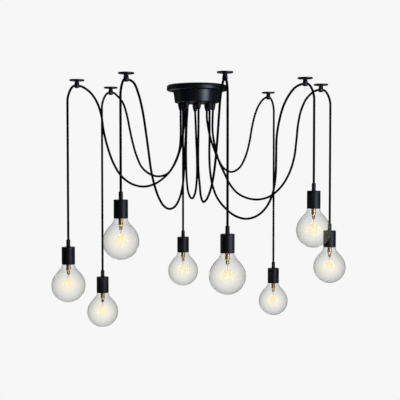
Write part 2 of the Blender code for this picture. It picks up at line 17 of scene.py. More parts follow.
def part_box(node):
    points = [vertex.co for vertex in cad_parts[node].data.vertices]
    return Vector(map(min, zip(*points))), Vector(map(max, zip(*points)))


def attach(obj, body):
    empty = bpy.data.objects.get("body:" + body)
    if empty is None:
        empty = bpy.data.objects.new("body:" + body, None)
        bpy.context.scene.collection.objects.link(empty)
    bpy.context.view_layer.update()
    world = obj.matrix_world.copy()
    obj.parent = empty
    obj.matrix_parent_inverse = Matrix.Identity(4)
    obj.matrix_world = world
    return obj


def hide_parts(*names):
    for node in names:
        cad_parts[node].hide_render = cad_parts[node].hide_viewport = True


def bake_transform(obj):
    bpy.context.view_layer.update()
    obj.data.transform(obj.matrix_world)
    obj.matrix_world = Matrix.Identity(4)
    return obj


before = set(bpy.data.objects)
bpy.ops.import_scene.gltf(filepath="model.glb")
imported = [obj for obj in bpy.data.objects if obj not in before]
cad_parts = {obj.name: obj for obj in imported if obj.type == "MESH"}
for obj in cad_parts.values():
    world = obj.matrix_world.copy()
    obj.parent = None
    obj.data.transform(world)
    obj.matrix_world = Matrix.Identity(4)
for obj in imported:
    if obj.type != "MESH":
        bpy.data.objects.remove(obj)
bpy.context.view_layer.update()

LOG = logging.getLogger("spider_pendant")
MM = 0.001
FIXED = "fixed"

# The UV map on every cord, of turns across and metres along, and how near each point of glass is to its lit wire,
# which masks the glass's painted glow.
CORD_MAP = "along_cord"
PAINTED_GLOW_MASK = "painted_glow_mask"

# The pitch of the lamp caps' rolled thread, where the studio lights aim, the least turn between faces, in degrees,
# that stays a sharp edge, and how close two points are merged.
CAP_PITCH = 0.0036
LIGHT_MIDDLE = (0.0, 0.0, -0.3)
SHARP = 38.0
WELD = 0.002 * MM

# Each cord's route from its gland to its hook: the share of the way, and the fall under the ceiling.
ROUTES: dict[int, list[tuple[float, float]]] = {
    1: [
        (0.0, 0.110), (0.0, 0.155), (0.015, 0.195), (0.046, 0.223), (0.102, 0.254), (0.186, 0.280),
        (0.285, 0.297), (0.380, 0.302), (0.480, 0.295), (0.580, 0.274), (0.658, 0.238), (0.718, 0.189),
        (0.757, 0.140), (0.779, 0.095), (0.819, 0.060), (0.870, 0.037), (0.929, 0.023),
    ],
    2: [
        (0.0, 0.100), (0.012, 0.135), (0.036, 0.172), (0.080, 0.208), (0.148, 0.242), (0.230, 0.265),
        (0.340, 0.273), (0.460, 0.267), (0.571, 0.247), (0.645, 0.213), (0.698, 0.173), (0.742, 0.128),
        (0.784, 0.082), (0.837, 0.047), (0.915, 0.026),
    ],
    3: [
        (0.0, 0.100), (0.010, 0.140), (0.025, 0.190), (0.042, 0.245), (0.074, 0.301), (0.143, 0.341),
        (0.224, 0.360), (0.314, 0.364), (0.405, 0.355), (0.486, 0.333), (0.560, 0.298), (0.618, 0.255),
        (0.660, 0.203), (0.706, 0.145), (0.759, 0.089), (0.819, 0.049), (0.884, 0.024),
    ],
    4: [
        (-0.050, 0.110), (-0.110, 0.160), (-0.180, 0.210), (-0.200, 0.255), (-0.140, 0.294), (0.020, 0.326),
        (0.280, 0.341), (0.530, 0.338), (0.770, 0.320), (0.905, 0.287), (0.965, 0.245), (0.985, 0.194),
        (0.955, 0.144), (0.890, 0.098), (0.810, 0.060), (0.785, 0.036), (0.845, 0.021),
    ],
    5: [
        (0.0, 0.110), (-0.005, 0.150), (-0.015, 0.200), (-0.005, 0.250), (0.052, 0.298), (0.105, 0.331),
        (0.200, 0.345), (0.285, 0.341), (0.414, 0.324), (0.543, 0.292), (0.638, 0.250), (0.703, 0.203),
        (0.758, 0.152), (0.799, 0.106), (0.840, 0.066), (0.895, 0.037),
    ],
    6: [
        (0.0, 0.095), (0.016, 0.120), (0.046, 0.150), (0.098, 0.183), (0.167, 0.217), (0.261, 0.248),
        (0.380, 0.260), (0.513, 0.247), (0.610, 0.213), (0.676, 0.168), (0.721, 0.118), (0.771, 0.077),
        (0.837, 0.045), (0.912, 0.025),
    ],
    7: [
        (0.0, 0.110), (0.0, 0.160), (-0.002, 0.210), (0.006, 0.255), (0.031, 0.296), (0.084, 0.334),
        (0.180, 0.366), (0.287, 0.387), (0.405, 0.394), (0.531, 0.382), (0.624, 0.355), (0.683, 0.317),
        (0.710, 0.268), (0.715, 0.215), (0.720, 0.160), (0.748, 0.112), (0.788, 0.074), (0.843, 0.045),
        (0.911, 0.024),
    ],
    8: [
        (-0.003, 0.105), (-0.002, 0.140), (0.018, 0.180), (0.055, 0.225), (0.108, 0.263), (0.160, 0.296),
        (0.228, 0.322), (0.317, 0.337), (0.415, 0.342), (0.523, 0.334), (0.626, 0.308), (0.706, 0.268),
        (0.757, 0.218), (0.778, 0.165), (0.794, 0.115), (0.827, 0.070), (0.882, 0.037),
    ],
}

# Each cord's arch past its hook: shares of its reach and of its fall under the hook's hole.
ARCH_SHARES = (
    (0.46, 0.075), (0.635, 0.205), (0.795, 0.40), (0.915, 0.61), (0.98, 0.80), (1.0, 0.92), (1.0, 1.0),
)

Outline = list[tuple[float, float]]
Colour = tuple[float, float, float, float]


class Slot(Enum):
    """The record's material slots."""

    METAL = "satin_black_metal"
    NYLON = "gland_nylon"
    CORD = "textile_cord"
    STEEL = "strap_steel"
    BRASS = "lamp_brass"
    GLASS = "lamp_glass"


# ---------------------------------------------------------------- node and colour helpers


def linear(code: str) -> Colour:
    """Turn a colour's sRGB hex code into linear light.

    Args:
        code: the code, such as "#1A1B1D".

    Returns:
        The colour's red, green, blue and full alpha.
    """
    shares = [int(code[start : start + 2], 16) / 255 for start in (1, 3, 5)]
    red, green, blue = (s / 12.92 if s <= 0.04045 else ((s + 0.055) / 1.055) ** 2.4 for s in shares)
    return (red, green, blue, 1.0)


def add_node(
    tree: bpy.types.NodeTree, kind: str, settings: dict | None = None, links: dict | None = None
) -> bpy.types.Node:
    """Add one node to a tree.

    Args:
        tree: the tree that it goes in.
        kind: the node's type, such as "ShaderNodeMath".
        settings: its own properties, then its inputs' values, each by name, or an input's by number.
        links: the outputs that feed its inputs, by the input's name or number.

    Returns:
        The new node.
    """
    node = tree.nodes.new(kind)
    for key, value in (settings or {}).items():
        if isinstance(key, int) or key in node.inputs:
            node.inputs[key].default_value = value
        else:
            setattr(node, key, value)
    for key, output in (links or {}).items():
        tree.links.new(output, node.inputs[key])
    return node


def start_material(name: str, settings: dict) -> tuple[bpy.types.Material, bpy.types.Node]:
    """Start a material on the Principled shader.

    Args:
        name: the material's name, which says what the real one is.
        settings: the shader's constant inputs, by name.

    Returns:
        The material and its shader node.
    """
    material = bpy.data.materials.new(name)
    material.use_nodes = True
    shader = material.node_tree.nodes["Principled BSDF"]
    for key, value in settings.items():
        shader.inputs[key].default_value = value
    return material, shader


# ---------------------------------------------------------------- finishes


@dataclass(frozen=True)
class Finish:
    """A surface whose tone drifts between two colours over soft clouds.

    Its gloss, from the clouds' low end to their high end, and its relief can follow them. The relief has the
    clouds' own grain unless ripple_mm gives it a finer one.
    """

    name: str
    low: str
    high: str
    cloud_mm: float
    detail: float
    tinted: str = "Base Color"
    metallic: float = 0.0
    roughness: float = 0.5
    ior: float = 1.5
    shine: float = 0.5
    gloss: tuple[float, float] | None = None
    gloss_span: tuple[float, float] = (0.0, 1.0)
    relief: float = 0.0
    relief_mm: float = 0.03
    ripple_mm: float | None = None

    def settings(self) -> dict[str, float | Colour]:
        """Give the shader's constant inputs, by name."""
        return {
            "Metallic": self.metallic, "Roughness": self.roughness, "IOR": self.ior,
            "Specular IOR Level": self.shine,
        }

    def spots(self, tree: bpy.types.NodeTree) -> bpy.types.NodeSocket:
        """Give each point's place in the piece."""
        return add_node(tree, "ShaderNodeTexCoord").outputs["Object"]

    def material(self) -> bpy.types.Material:
        """Build the material.

        Returns:
            The material, with its clouds at their real size.
        """
        material, shader = start_material(self.name, self.settings())
        tree = material.node_tree
        spots = self.spots(tree)
        clouds = add_node(
            tree, "ShaderNodeTexNoise", {"Scale": 1 / (self.cloud_mm * MM), "Detail": self.detail},
            {"Vector": spots},
        ).outputs["Fac"]
        colours = {"data_type": "RGBA", 6: linear(self.low), 7: linear(self.high)}
        tone = add_node(tree, "ShaderNodeMix", colours, {0: clouds})
        tree.links.new(tone.outputs[2], shader.inputs[self.tinted])
        if self.gloss:
            ends = dict(zip(("From Min", "From Max", "To Min", "To Max"), self.gloss_span + self.gloss))
            gloss = add_node(tree, "ShaderNodeMapRange", ends, {"Value": clouds})
            tree.links.new(gloss.outputs["Result"], shader.inputs["Roughness"])
        if self.relief:
            height = clouds
            if self.ripple_mm:
                ripple = {"Scale": 1 / (self.ripple_mm * MM), "Detail": 1.0}
                height = add_node(tree, "ShaderNodeTexNoise", ripple, {"Vector": spots}).outputs["Fac"]
            depth = {"Strength": self.relief, "Distance": self.relief_mm * MM}
            bump = add_node(tree, "ShaderNodeBump", depth, {"Height": height})
            tree.links.new(bump.outputs["Normal"], shader.inputs["Normal"])
        return material


@dataclass(frozen=True)
class PowderCoat(Finish):
    """Polyester powder coat, baked on steel: a satin black skin with a very fine orange-peel ripple.

    The ripple breaks the softbox's edge a little, and a slow change of tone keeps wide faces from looking flat.
    """

    name: str = "satin_black_powder_coat"
    low: str = "#131416"
    high: str = "#1B1C1F"
    cloud_mm: float = 45.0
    detail: float = 3.0
    gloss: tuple[float, float] = (0.305, 0.375)
    gloss_span: tuple[float, float] = (0.3, 0.7)
    relief: float = 0.12
    ripple_mm: float = 1.1


@dataclass(frozen=True)
class MattPaint(PowderCoat):
    """Matt black powder coat on the lamp holders: a matting agent in it makes its shine wide and dim."""

    name: str = "matt_black_powder_coat"
    low: str = "#161514"
    high: str = "#1E1C1C"
    gloss: tuple[float, float] = (0.455, 0.505)
    shine: float = 0.3


@dataclass(frozen=True)
class MouldedNylon(Finish):
    """Black nylon 6, injection moulded: a matter black than the paint, with the mould's fine spark grain."""

    name: str = "moulded_black_nylon"
    low: str = "#111112"
    high: str = "#1C1C1F"
    cloud_mm: float = 0.5
    detail: float = 2.0
    ior: float = 1.53
    shine: float = 0.3
    relief: float = 0.25


@dataclass(frozen=True)
class ZincSteel(Finish):
    """Steel strip with bright zinc plating: pale blue-grey metal with the faint lines of the rolled strip."""

    name: str = "zinc_plated_steel"
    low: str = "#84888D"
    high: str = "#AFB3B8"
    cloud_mm: float = 0.6
    line_length_mm: float = 30.0
    detail: float = 3.0
    metallic: float = 1.0
    gloss: tuple[float, float] = (0.34, 0.52)

    def spots(self, tree: bpy.types.NodeTree) -> bpy.types.NodeSocket:
        """Give each point's place, drawn out along the strip."""
        along = (self.cloud_mm / self.line_length_mm, 1.0, 1.0)
        return add_node(
            tree, "ShaderNodeMapping", {"Scale": along}, {"Vector": super().spots(tree)}
        ).outputs["Vector"]


@dataclass(frozen=True)
class LampBrass(Finish):
    """Pressed sheet brass, tumbled: warm yellow metal, a little duller where its film has begun to brown."""

    name: str = "pressed_sheet_brass"
    low: str = "#AE935C"
    high: str = "#F4E0B2"
    cloud_mm: float = 6.0
    detail: float = 4.0
    metallic: float = 1.0
    gloss: tuple[float, float] = (0.52, 0.34)


@dataclass(frozen=True)
class GlowingFilament(Finish):
    """Coiled tungsten wire at a low, warm glow: a soft pale yellow line, deeper where it is cooler."""

    name: str = "glowing_tungsten"
    low: str = "#F4D678"
    high: str = "#FFF0B4"
    cold: str = "#2E2618"
    cloud_mm: float = 9.0
    detail: float = 1.0
    tinted: str = "Emission Color"
    strength: float = 0.88

    def settings(self) -> dict[str, float | Colour]:
        """Give the shader's constant inputs, with the cold wire's own colour and how strongly it glows."""
        return {**super().settings(), "Base Color": linear(self.cold), "Emission Strength": self.strength}


@dataclass(frozen=True)
class GlazedCeramic(Finish):
    """White steatite with a thin glaze: off-white, smooth and slightly mottled."""

    name: str = "glazed_white_ceramic"
    low: str = "#E9E6DD"
    high: str = "#D8D3C6"
    cloud_mm: float = 4.0
    detail: float = 3.0
    roughness: float = 0.28


@dataclass(frozen=True)
class MouldedPolyamide(Finish):
    """Natural polyamide, moulded: milky white and faintly waxy, a little yellower where it is thick."""

    name: str = "moulded_natural_polyamide"
    low: str = "#E6E4DA"
    high: str = "#D6D2C0"
    cloud_mm: float = 5.0
    detail: float = 2.0
    roughness: float = 0.45
    ior: float = 1.53


@dataclass(frozen=True)
class CoreInsulation(Finish):
    """Extruded PVC over a cord's core: smooth, slightly waxy and coloured through, streaked faintly by the die."""

    cloud_mm: float = 25.0
    streaks_round: float = 9.0
    detail: float = 2.0
    roughness: float = 0.38
    ior: float = 1.54

    def spots(self, tree: bpy.types.NodeTree) -> bpy.types.NodeSocket:
        """Give each point's turn and metres along its core, with the turn drawn out into streaks.

        Args:
            tree: the material's nodes.

        Returns:
            The output that gives it.
        """
        uv = add_node(tree, "ShaderNodeUVMap", {"uv_map": CORD_MAP})
        drawn = {"Scale": (self.streaks_round * self.cloud_mm * MM, 1.0, 1.0)}
        return add_node(tree, "ShaderNodeMapping", drawn, {"Vector": uv.outputs["UV"]}).outputs["Vector"]


@dataclass(frozen=True)
class BraidedTextile:
    """Black cotton yarn, braided over a round cord: dull diamonds of yarn, with painted shade in the hollows
    between them and a painted highlight on their crowns.

    The real braid has about 16 yarns a turn. It is drawn with 8 so that the diamonds show.
    """

    name: str = "braided_black_textile"
    # Painted shade and highlight: the hollow colour darkens the braid's recesses, the crown colour lightens its
    # crests.
    hollow: str = "#020203"
    painted_highlight_crown: str = "#18181B"
    roughness: float = 0.92
    shine: float = 0.1
    yarns_round: float = 8.0
    pick_mm: float = 2.4
    crest: float = 0.8
    relief: float = 0.5
    relief_mm: float = 0.2

    def material(self) -> bpy.types.Material:
        """Build the material.

        Returns:
            The braid, which reads the cord's own UV map: turns across, metres along.
        """
        settings = {"Roughness": self.roughness, "Specular IOR Level": self.shine}
        material, shader = start_material(self.name, settings)
        tree = material.node_tree
        uv = add_node(tree, "ShaderNodeUVMap", {"uv_map": CORD_MAP})
        parts = add_node(tree, "ShaderNodeSeparateXYZ", None, {"Vector": uv.outputs["UV"]})
        phases = {}
        for index, (axis, rate) in enumerate((("X", self.yarns_round), ("Y", 1 / (self.pick_mm * MM)))):
            times = {"operation": "MULTIPLY", 1: math.tau * rate}
            phases[index] = add_node(tree, "ShaderNodeMath", times, {0: parts.outputs[axis]}).outputs[0]
        waves = {}
        for index, way in enumerate(("ADD", "SUBTRACT")):
            helix = add_node(tree, "ShaderNodeMath", {"operation": way}, phases)
            wave = add_node(tree, "ShaderNodeMath", {"operation": "SINE"}, {0: helix.outputs[0]})
            waves[index] = wave.outputs[0]
        weave = add_node(tree, "ShaderNodeMath", {"operation": "MULTIPLY"}, waves)
        raised = add_node(
            tree, "ShaderNodeMapRange", {"From Min": -self.crest, "From Max": self.crest},
            {"Value": weave.outputs[0]},
        ).outputs["Result"]
        # The weave paints shade into its hollows and a highlight onto its crowns; the same height drives the bump.
        colours = {"data_type": "RGBA", 6: linear(self.hollow), 7: linear(self.painted_highlight_crown)}
        tone = add_node(tree, "ShaderNodeMix", colours, {0: raised})
        depth = {"Strength": self.relief, "Distance": self.relief_mm * MM}
        bump = add_node(tree, "ShaderNodeBump", depth, {"Height": raised})
        tree.links.new(tone.outputs[2], shader.inputs["Base Color"])
        tree.links.new(bump.outputs["Normal"], shader.inputs["Normal"])
        return material


@dataclass(frozen=True)
class BlownGlass:
    """Clear soda-lime glass, blown thin: a faint grey-green veil face on, and a dark line where it turns away.

    Each of its four skins holds back a little light, and more as it turns edge on, which is what the eye sees
    of it. A painted glow stands for the lit filament's light: pale yellow emission over the middle of the globe,
    strongest where the glass faces the viewer near the filament's level. The edge is what each skin adds evenly
    as it turns, and the rim what it adds in the last degrees.
    """

    name: str = "blown_clear_glass"
    tint: str = "#5C625A"
    roughness: float = 0.03
    ior: float = 1.5
    veil: float = 0.015
    edge: float = 0.24
    rim: float = 0.92
    rim_power: float = 12.5
    # Painted glow: the pale yellow emission colour, its share of the alpha, and how tightly it gathers to the
    # middle.
    painted_glow: str = "#FAE25D"
    painted_glow_share: float = 0.09
    painted_glow_power: float = 6.0

    def material(self) -> bpy.types.Material:
        """Build the material.

        Returns:
            The glass, which reads how near each point is to the filament from its own attribute.
        """
        material, shader = start_material(self.name, {
            "Base Color": linear(self.tint), "Roughness": self.roughness, "IOR": self.ior,
            "Emission Color": linear(self.painted_glow),
        })
        tree = material.node_tree
        values = {
            "facing": add_node(tree, "ShaderNodeLayerWeight", {"Blend": 0.5}).outputs["Facing"],
            "glow_near": add_node(tree, "ShaderNodeAttribute", {"attribute_name": PAINTED_GLOW_MASK}).outputs["Fac"],
        }
        # The last steps add the painted glow to the alpha, and the glow's share of the alpha drives the emission
        # strength.
        steps = (
            ("body", "MULTIPLY_ADD", ("facing", self.edge, self.veil)),
            ("steep", "POWER", ("facing", self.rim_power)),
            ("clear", "MULTIPLY_ADD", ("steep", self.rim, "body")),
            ("across", "SUBTRACT", (1.0, "facing")),
            ("middle", "POWER", ("across", self.painted_glow_power)),
            ("lit", "MULTIPLY", ("middle", "glow_near")),
            ("painted_glow", "MULTIPLY", ("lit", self.painted_glow_share)),
            ("alpha", "ADD", ("clear", "painted_glow")),
            ("share", "DIVIDE", ("painted_glow", "alpha")),
        )
        for name, operation, terms in steps:
            numbers = {index: term for index, term in enumerate(terms) if not isinstance(term, str)}
            links = {index: values[term] for index, term in enumerate(terms) if isinstance(term, str)}
            step = add_node(tree, "ShaderNodeMath", {"operation": operation, **numbers}, links)
            values[name] = step.outputs[0]
        tree.links.new(values["alpha"], shader.inputs["Alpha"])
        tree.links.new(values["share"], shader.inputs["Emission Strength"])
        return material


class Look(Enum):
    """The light's finishes, each with the record's material slot that it stands for."""

    POWDER = PowderCoat(), Slot.METAL
    MATT = MattPaint(), Slot.METAL
    NYLON = MouldedNylon(), Slot.NYLON
    BRAID = BraidedTextile(), Slot.CORD
    STEEL = ZincSteel(), Slot.STEEL
    BRASS = LampBrass(), Slot.BRASS
    GLASS = BlownGlass(), Slot.GLASS
    FILAMENT = GlowingFilament(), Slot.BRASS
    CERAMIC = GlazedCeramic(), Slot.METAL
    POLYAMIDE = MouldedPolyamide(), Slot.NYLON
    BROWN_CORE = CoreInsulation("brown_pvc_insulation", "#59331E", "#6E4128"), Slot.CORD
    BLUE_CORE = CoreInsulation("blue_pvc_insulation", "#264F8C", "#2F64AE"), Slot.CORD

    @property
    def material(self) -> bpy.types.Material:
        """The finish's material, built when a piece first asks for it."""
        finish = self.value[0]
        return bpy.data.materials.get(finish.name) or finish.material()

    @property
    def slot(self) -> Slot:
        """The record's slot that the finish stands for."""
        return self.value[1]


# ---------------------------------------------------------------- mesh helpers


def up(height: float) -> Vector:
    """The step straight up by a height."""
    return Vector((0, 0, height))


def arc(centre: tuple[float, float], radius: float, start: float, end: float, steps: int) -> Outline:
    """Lay points along a round in a section.

    Args:
        centre: the round's middle, as radius and height.
        radius: its radius.
        start: the first angle, in degrees.
        end: the last angle, in degrees.
        steps: how many steps lie between.

    Returns:
        The points.
    """
    points = []
    for step in range(steps + 1):
        angle = math.radians(start + (end - start) * step / steps)
        points.append((centre[0] + radius * math.cos(angle), centre[1] + radius * math.sin(angle)))
    return points


def set_in(path: Outline, wall: float) -> Outline:
    """Move a section's path inwards, with mitred corners.

    Args:
        path: the outer side, from the top down.
        wall: how far it moves.

    Returns:
        The inner side, in the same order.
    """
    points = [Vector(point) for point in path]
    normals = []
    for here, there in zip(points, points[1:]):
        way = (there - here).normalized()
        normals.append(Vector((way.y, -way.x)))
    moved = []
    for index, point in enumerate(points):
        before = normals[max(index - 1, 0)]
        after = normals[min(index, len(normals) - 1)]
        mitre = (before + after) / (1 + before.dot(after))
        moved.append(tuple(point + wall * mitre))
    return moved


def turned(outline: Outline, sides: int, ring: bool = False) -> bmesh.types.BMesh:
    """Turn an outline about the Z axis.

    Args:
        outline: points of radius and height. Unless it is a ring, it starts and ends on the axis.
        sides: how many steps make the full turn.
        ring: whether the outline closes on itself.

    Returns:
        The closed shape, with its faces pointing out.
    """
    bm = bmesh.new()
    verts = [bm.verts.new((radius, 0.0, height)) for radius, height in outline]
    edges = [bm.edges.new(pair) for pair in zip(verts, verts[1:])]
    if ring:
        edges.append(bm.edges.new((verts[-1], verts[0])))
    bmesh.ops.spin(
        bm, geom=verts + edges, axis=(0, 0, 1), cent=(0, 0, 0), angle=math.tau, steps=sides, use_merge=True
    )
    bmesh.ops.remove_doubles(bm, verts=bm.verts, dist=WELD)
    bmesh.ops.recalc_face_normals(bm, faces=bm.faces)
    return bm


def soften(bm: bmesh.types.BMesh, width: float, steps: int = 2, turn: float = 40.0) -> None:
    """Round a shape's sharp edges.

    Args:
        bm: the shape.
        width: how far the round reaches from each edge.
        steps: the round's steps.
        turn: the least angle between faces, in degrees, that counts as sharp.
    """
    sharp = [
        edge for edge in bm.edges
        if len(edge.link_faces) == 2 and edge.calc_face_angle() > math.radians(turn)
    ]
    bmesh.ops.bevel(
        bm, geom=sharp, offset=width, segments=steps, profile=0.5, affect="EDGES", material=-1,
        clamp_overlap=True,
    )


def rod(start: Vector, end: Vector, radius: float, sides: int = 12) -> bmesh.types.BMesh:
    """Make a straight round bar between two points.

    Args:
        start: one end's middle.
        end: the other end's middle.
        radius: the bar's radius.
        sides: its sides.

    Returns:
        The bar.
    """
    bm = bmesh.new()
    way = end - start
    turn = up(1).rotation_difference(way).to_matrix().to_4x4()
    bmesh.ops.create_cone(
        bm, cap_ends=True, segments=sides, radius1=radius, radius2=radius, depth=way.length,
        matrix=Matrix.Translation((start + end) / 2) @ turn,
    )
    return bm


def block(size: tuple[float, float, float], middle: Vector) -> bmesh.types.BMesh:
    """Make a plain block.

    Args:
        size: its length, width and height.
        middle: where its middle is.

    Returns:
        The block.
    """
    bm = bmesh.new()
    bmesh.ops.create_cube(bm, size=1.0)
    bmesh.ops.scale(bm, vec=size, verts=bm.verts)
    bmesh.ops.translate(bm, vec=middle, verts=bm.verts)
    return bm


def to_mesh(name: str, bm: bmesh.types.BMesh) -> bpy.types.Mesh:
    """Turn a shape into a mesh.

    Args:
        name: the mesh's name.
        bm: the shape, which is let go.

    Returns:
        The mesh.
    """
    mesh = bpy.data.meshes.new(name)
    bm.to_mesh(mesh)
    bm.free()
    return mesh


def take_in(bm: bmesh.types.BMesh, other: bmesh.types.BMesh) -> None:
    """Add another shape to this one.

    Args:
        bm: the shape that grows.
        other: the other shape, which is let go.
    """
    mesh = to_mesh("taken_in", other)
    bm.from_mesh(mesh)
    bpy.data.meshes.remove(mesh)


def smooth_curve(points: list[Vector], steps: int = 12) -> list[Vector]:
    """Lay close points along the smooth curve through these ones.

    Args:
        points: the points that the curve goes through.
        steps: how many points lie on each stretch.

    Returns:
        The curve's points, the last one included.
    """
    spans = [(there - here).length for here, there in zip(points, points[1:])]
    slopes = [(there - here) / span for here, there, span in zip(points, points[1:], spans)]
    tangents = [slopes[0]]
    for index in range(1, len(points) - 1):
        before, after = spans[index - 1], spans[index]
        tangents.append((slopes[index - 1] * after + slopes[index] * before) / (before + after))
    tangents.append(slopes[-1])
    curve = []
    for index, span in enumerate(spans):
        for step in range(steps):
            t = step / steps
            curve.append(
                (2 * t**3 - 3 * t**2 + 1) * points[index]
                + (t**3 - 2 * t**2 + t) * span * tangents[index]
                + (3 * t**2 - 2 * t**3) * points[index + 1]
                + (t**3 - t**2) * span * tangents[index + 1]
            )
    curve.append(points[-1])
    return curve


def evenly(curve: list[Vector], step: float) -> list[Vector]:
    """Space points evenly along a curve.

    Args:
        curve: the curve's close points.
        step: the most that lies between two new points.

    Returns:
        The new points, with both ends kept.
    """
    marks = [0.0]
    for here, there in zip(curve, curve[1:]):
        marks.append(marks[-1] + (there - here).length)
    count = math.ceil(marks[-1] / step)
    spaced, index = [], 0
    for number in range(count + 1):
        mark = marks[-1] * number / count
        while index < len(marks) - 2 and marks[index + 1] < mark:
            index += 1
        share = (mark - marks[index]) / (marks[index + 1] - marks[index])
        spaced.append(curve[index].lerp(curve[index + 1], share))
    return spaced


def tube(path: list[Vector], radius: float, sides: int, first_mark: float = 0.0) -> bmesh.types.BMesh:
    """Sweep a round along a path, with closed ends and a UV map of turns across and metres along.

    Args:
        path: the middles of its rings.
        radius: its radius.
        sides: its sides.
        first_mark: how far along the cord its first ring lies.

    Returns:
        The tube.
    """
    bm = bmesh.new()
    heading = (path[1] - path[0]).normalized()
    frame_turn = up(1).rotation_difference(heading)
    circle = bmesh.ops.create_circle(
        bm, cap_ends=False, segments=sides, radius=radius,
        matrix=Matrix.Translation(path[0]) @ frame_turn.to_matrix().to_4x4(),
    )
    ring = circle["verts"]
    spots = {vert: (side, first_mark) for side, vert in enumerate(ring)}
    first, mark = ring, first_mark
    for index in range(1, len(path)):
        after = path[min(index + 1, len(path) - 1)]
        coming = (after - path[index - 1]).normalized()
        turn = heading.rotation_difference(coming)
        heading = coming
        mark += (path[index] - path[index - 1]).length
        edges = [bm.edges.get((vert, ring[side - 1])) for side, vert in enumerate(ring)]
        bmesh.ops.extrude_edge_only(bm, edges=edges)
        above = []
        for vert in ring:
            grown = next(edge.other_vert(vert) for edge in vert.link_edges if edge.other_vert(vert) not in spots)
            above.append(grown)
        for side, vert in enumerate(above):
            spots[vert] = (side, mark)
        bmesh.ops.translate(bm, vec=path[index] - path[index - 1], verts=above)
        bmesh.ops.rotate(bm, cent=path[index], matrix=turn.to_matrix(), verts=above)
        ring = above
    bm.faces.new(first)
    bm.faces.new(ring)
    layer = bm.loops.layers.uv.new(CORD_MAP)
    for face in bm.faces:
        seam = {spots[vert][0] for vert in face.verts} == {0, sides - 1}
        for loop in face.loops:
            side, along = spots[loop.vert]
            loop[layer].uv = ((sides if seam and side == 0 else side) / sides, along)
    bmesh.ops.recalc_face_normals(bm, faces=bm.faces)
    return bm


def add_object(name: str, data: bpy.types.ID) -> bpy.types.Object:
    """Put a mesh, a light or a camera into the scene.

    Args:
        name: the object's name.
        data: the mesh, light or camera.

    Returns:
        The object.
    """
    item = bpy.data.objects.new(name, data)
    bpy.context.collection.objects.link(item)
    return item


def make_piece(
    name: str,
    bm: bmesh.types.BMesh,
    look: Look,
    node: str | None = None,
    body: str | None = FIXED,
    place: Vector | None = None,
    sharp: float = SHARP,
) -> bpy.types.Object:
    """Turn a shape into a finished piece on its body.

    Args:
        name: the piece's name.
        bm: its shape, which is let go.
        look: its finish.
        node: the CAD node that it replaces, if any.
        body: the body that it rides on, or None to leave it on no body.
        place: where its own origin goes.
        sharp: the least turn between faces, in degrees, that stays a sharp edge.

    Returns:
        The piece.
    """
    if place is not None:
        bmesh.ops.translate(bm, vec=place, verts=bm.verts)
    mesh = to_mesh(name, bm)
    mesh.shade_smooth()
    mesh.set_sharp_from_angle(angle=math.radians(sharp))
    mesh.materials.append(look.material)
    piece = add_object(name, mesh)
    if body is not None:
        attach(piece, body)
    if node is not None:
        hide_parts(node)
    LOG.info("%s: %d faces", name, len(mesh.polygons))
    return piece


def cut_with(piece: bpy.types.Object, cutter_shape: bmesh.types.BMesh) -> None:
    """Cut a shape out of a piece for good.

    Args:
        piece: the piece.
        cutter_shape: the shape, which is let go.
    """
    mesh = to_mesh("cutter", cutter_shape)
    cutter = add_object("cutter", mesh)
    modifier = piece.modifiers.new("cut", "BOOLEAN")
    modifier.operation = "DIFFERENCE"
    modifier.solver = "EXACT"
    modifier.object = cutter
    graph = bpy.context.evaluated_depsgraph_get()
    finished = bpy.data.meshes.new_from_object(piece.evaluated_get(graph))
    piece.modifiers.clear()
    old = piece.data
    piece.data = finished
    finished.name = old.name
    bpy.data.meshes.remove(old)
    bpy.data.objects.remove(cutter, do_unlink=True)
    bpy.data.meshes.remove(mesh)


# ---------------------------------------------------------------- the light


@dataclass
class Pendant:
    """Where one pendant's gland, hook, drop and holder are, read from the frame's own nodes."""

    number: int
    gland: Vector
    hook: Vector
    drop: Vector
    holder_top: float

    @classmethod
    def from_frame(cls, number: int, grip_length: float) -> "Pendant":
        """Read a pendant's places.

        Args:
            number: the pendant's number.
            grip_length: how far the cord grip stands over the holder.

        Returns:
            The pendant.
        """
        middles = []
        for node in (f"cord_gland_{number}", f"ceiling_hook_{number}", f"lamp_globe_{number}"):
            low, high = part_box(node)
            middles.append(Vector(((low[0] + high[0]) / 2, (low[1] + high[1]) / 2, 0.0)))
        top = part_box(f"lamp_holder_{number}")[1][2] - grip_length
        return cls(number, *middles, top)

    @property
    def way(self) -> Vector:
        """The direction from the gland to the hook."""
        return (self.hook - self.gland).normalized()

    @property
    def run(self) -> float:
        """How far the hook is from the gland."""
        return (self.hook - self.gland).length

    @property
    def body(self) -> str:
        """The body that the holder swings with."""
        return f"pendant_{self.number}"

    @property
    def lamp_body(self) -> str:
        """The body that the lamp turns with."""
        return f"lamp_{self.number}"

    @property
    def place(self) -> Vector:
        """The middle of the holder's top, which the holder's and lamp's levels are measured from."""
        return Vector((self.drop.x, self.drop.y, self.holder_top))

    def over(self, along: float, height: float) -> Vector:
        """The point this far from the gland towards the hook, at this height."""
        spot = self.gland + along * self.way
        return Vector((spot.x, spot.y, height))


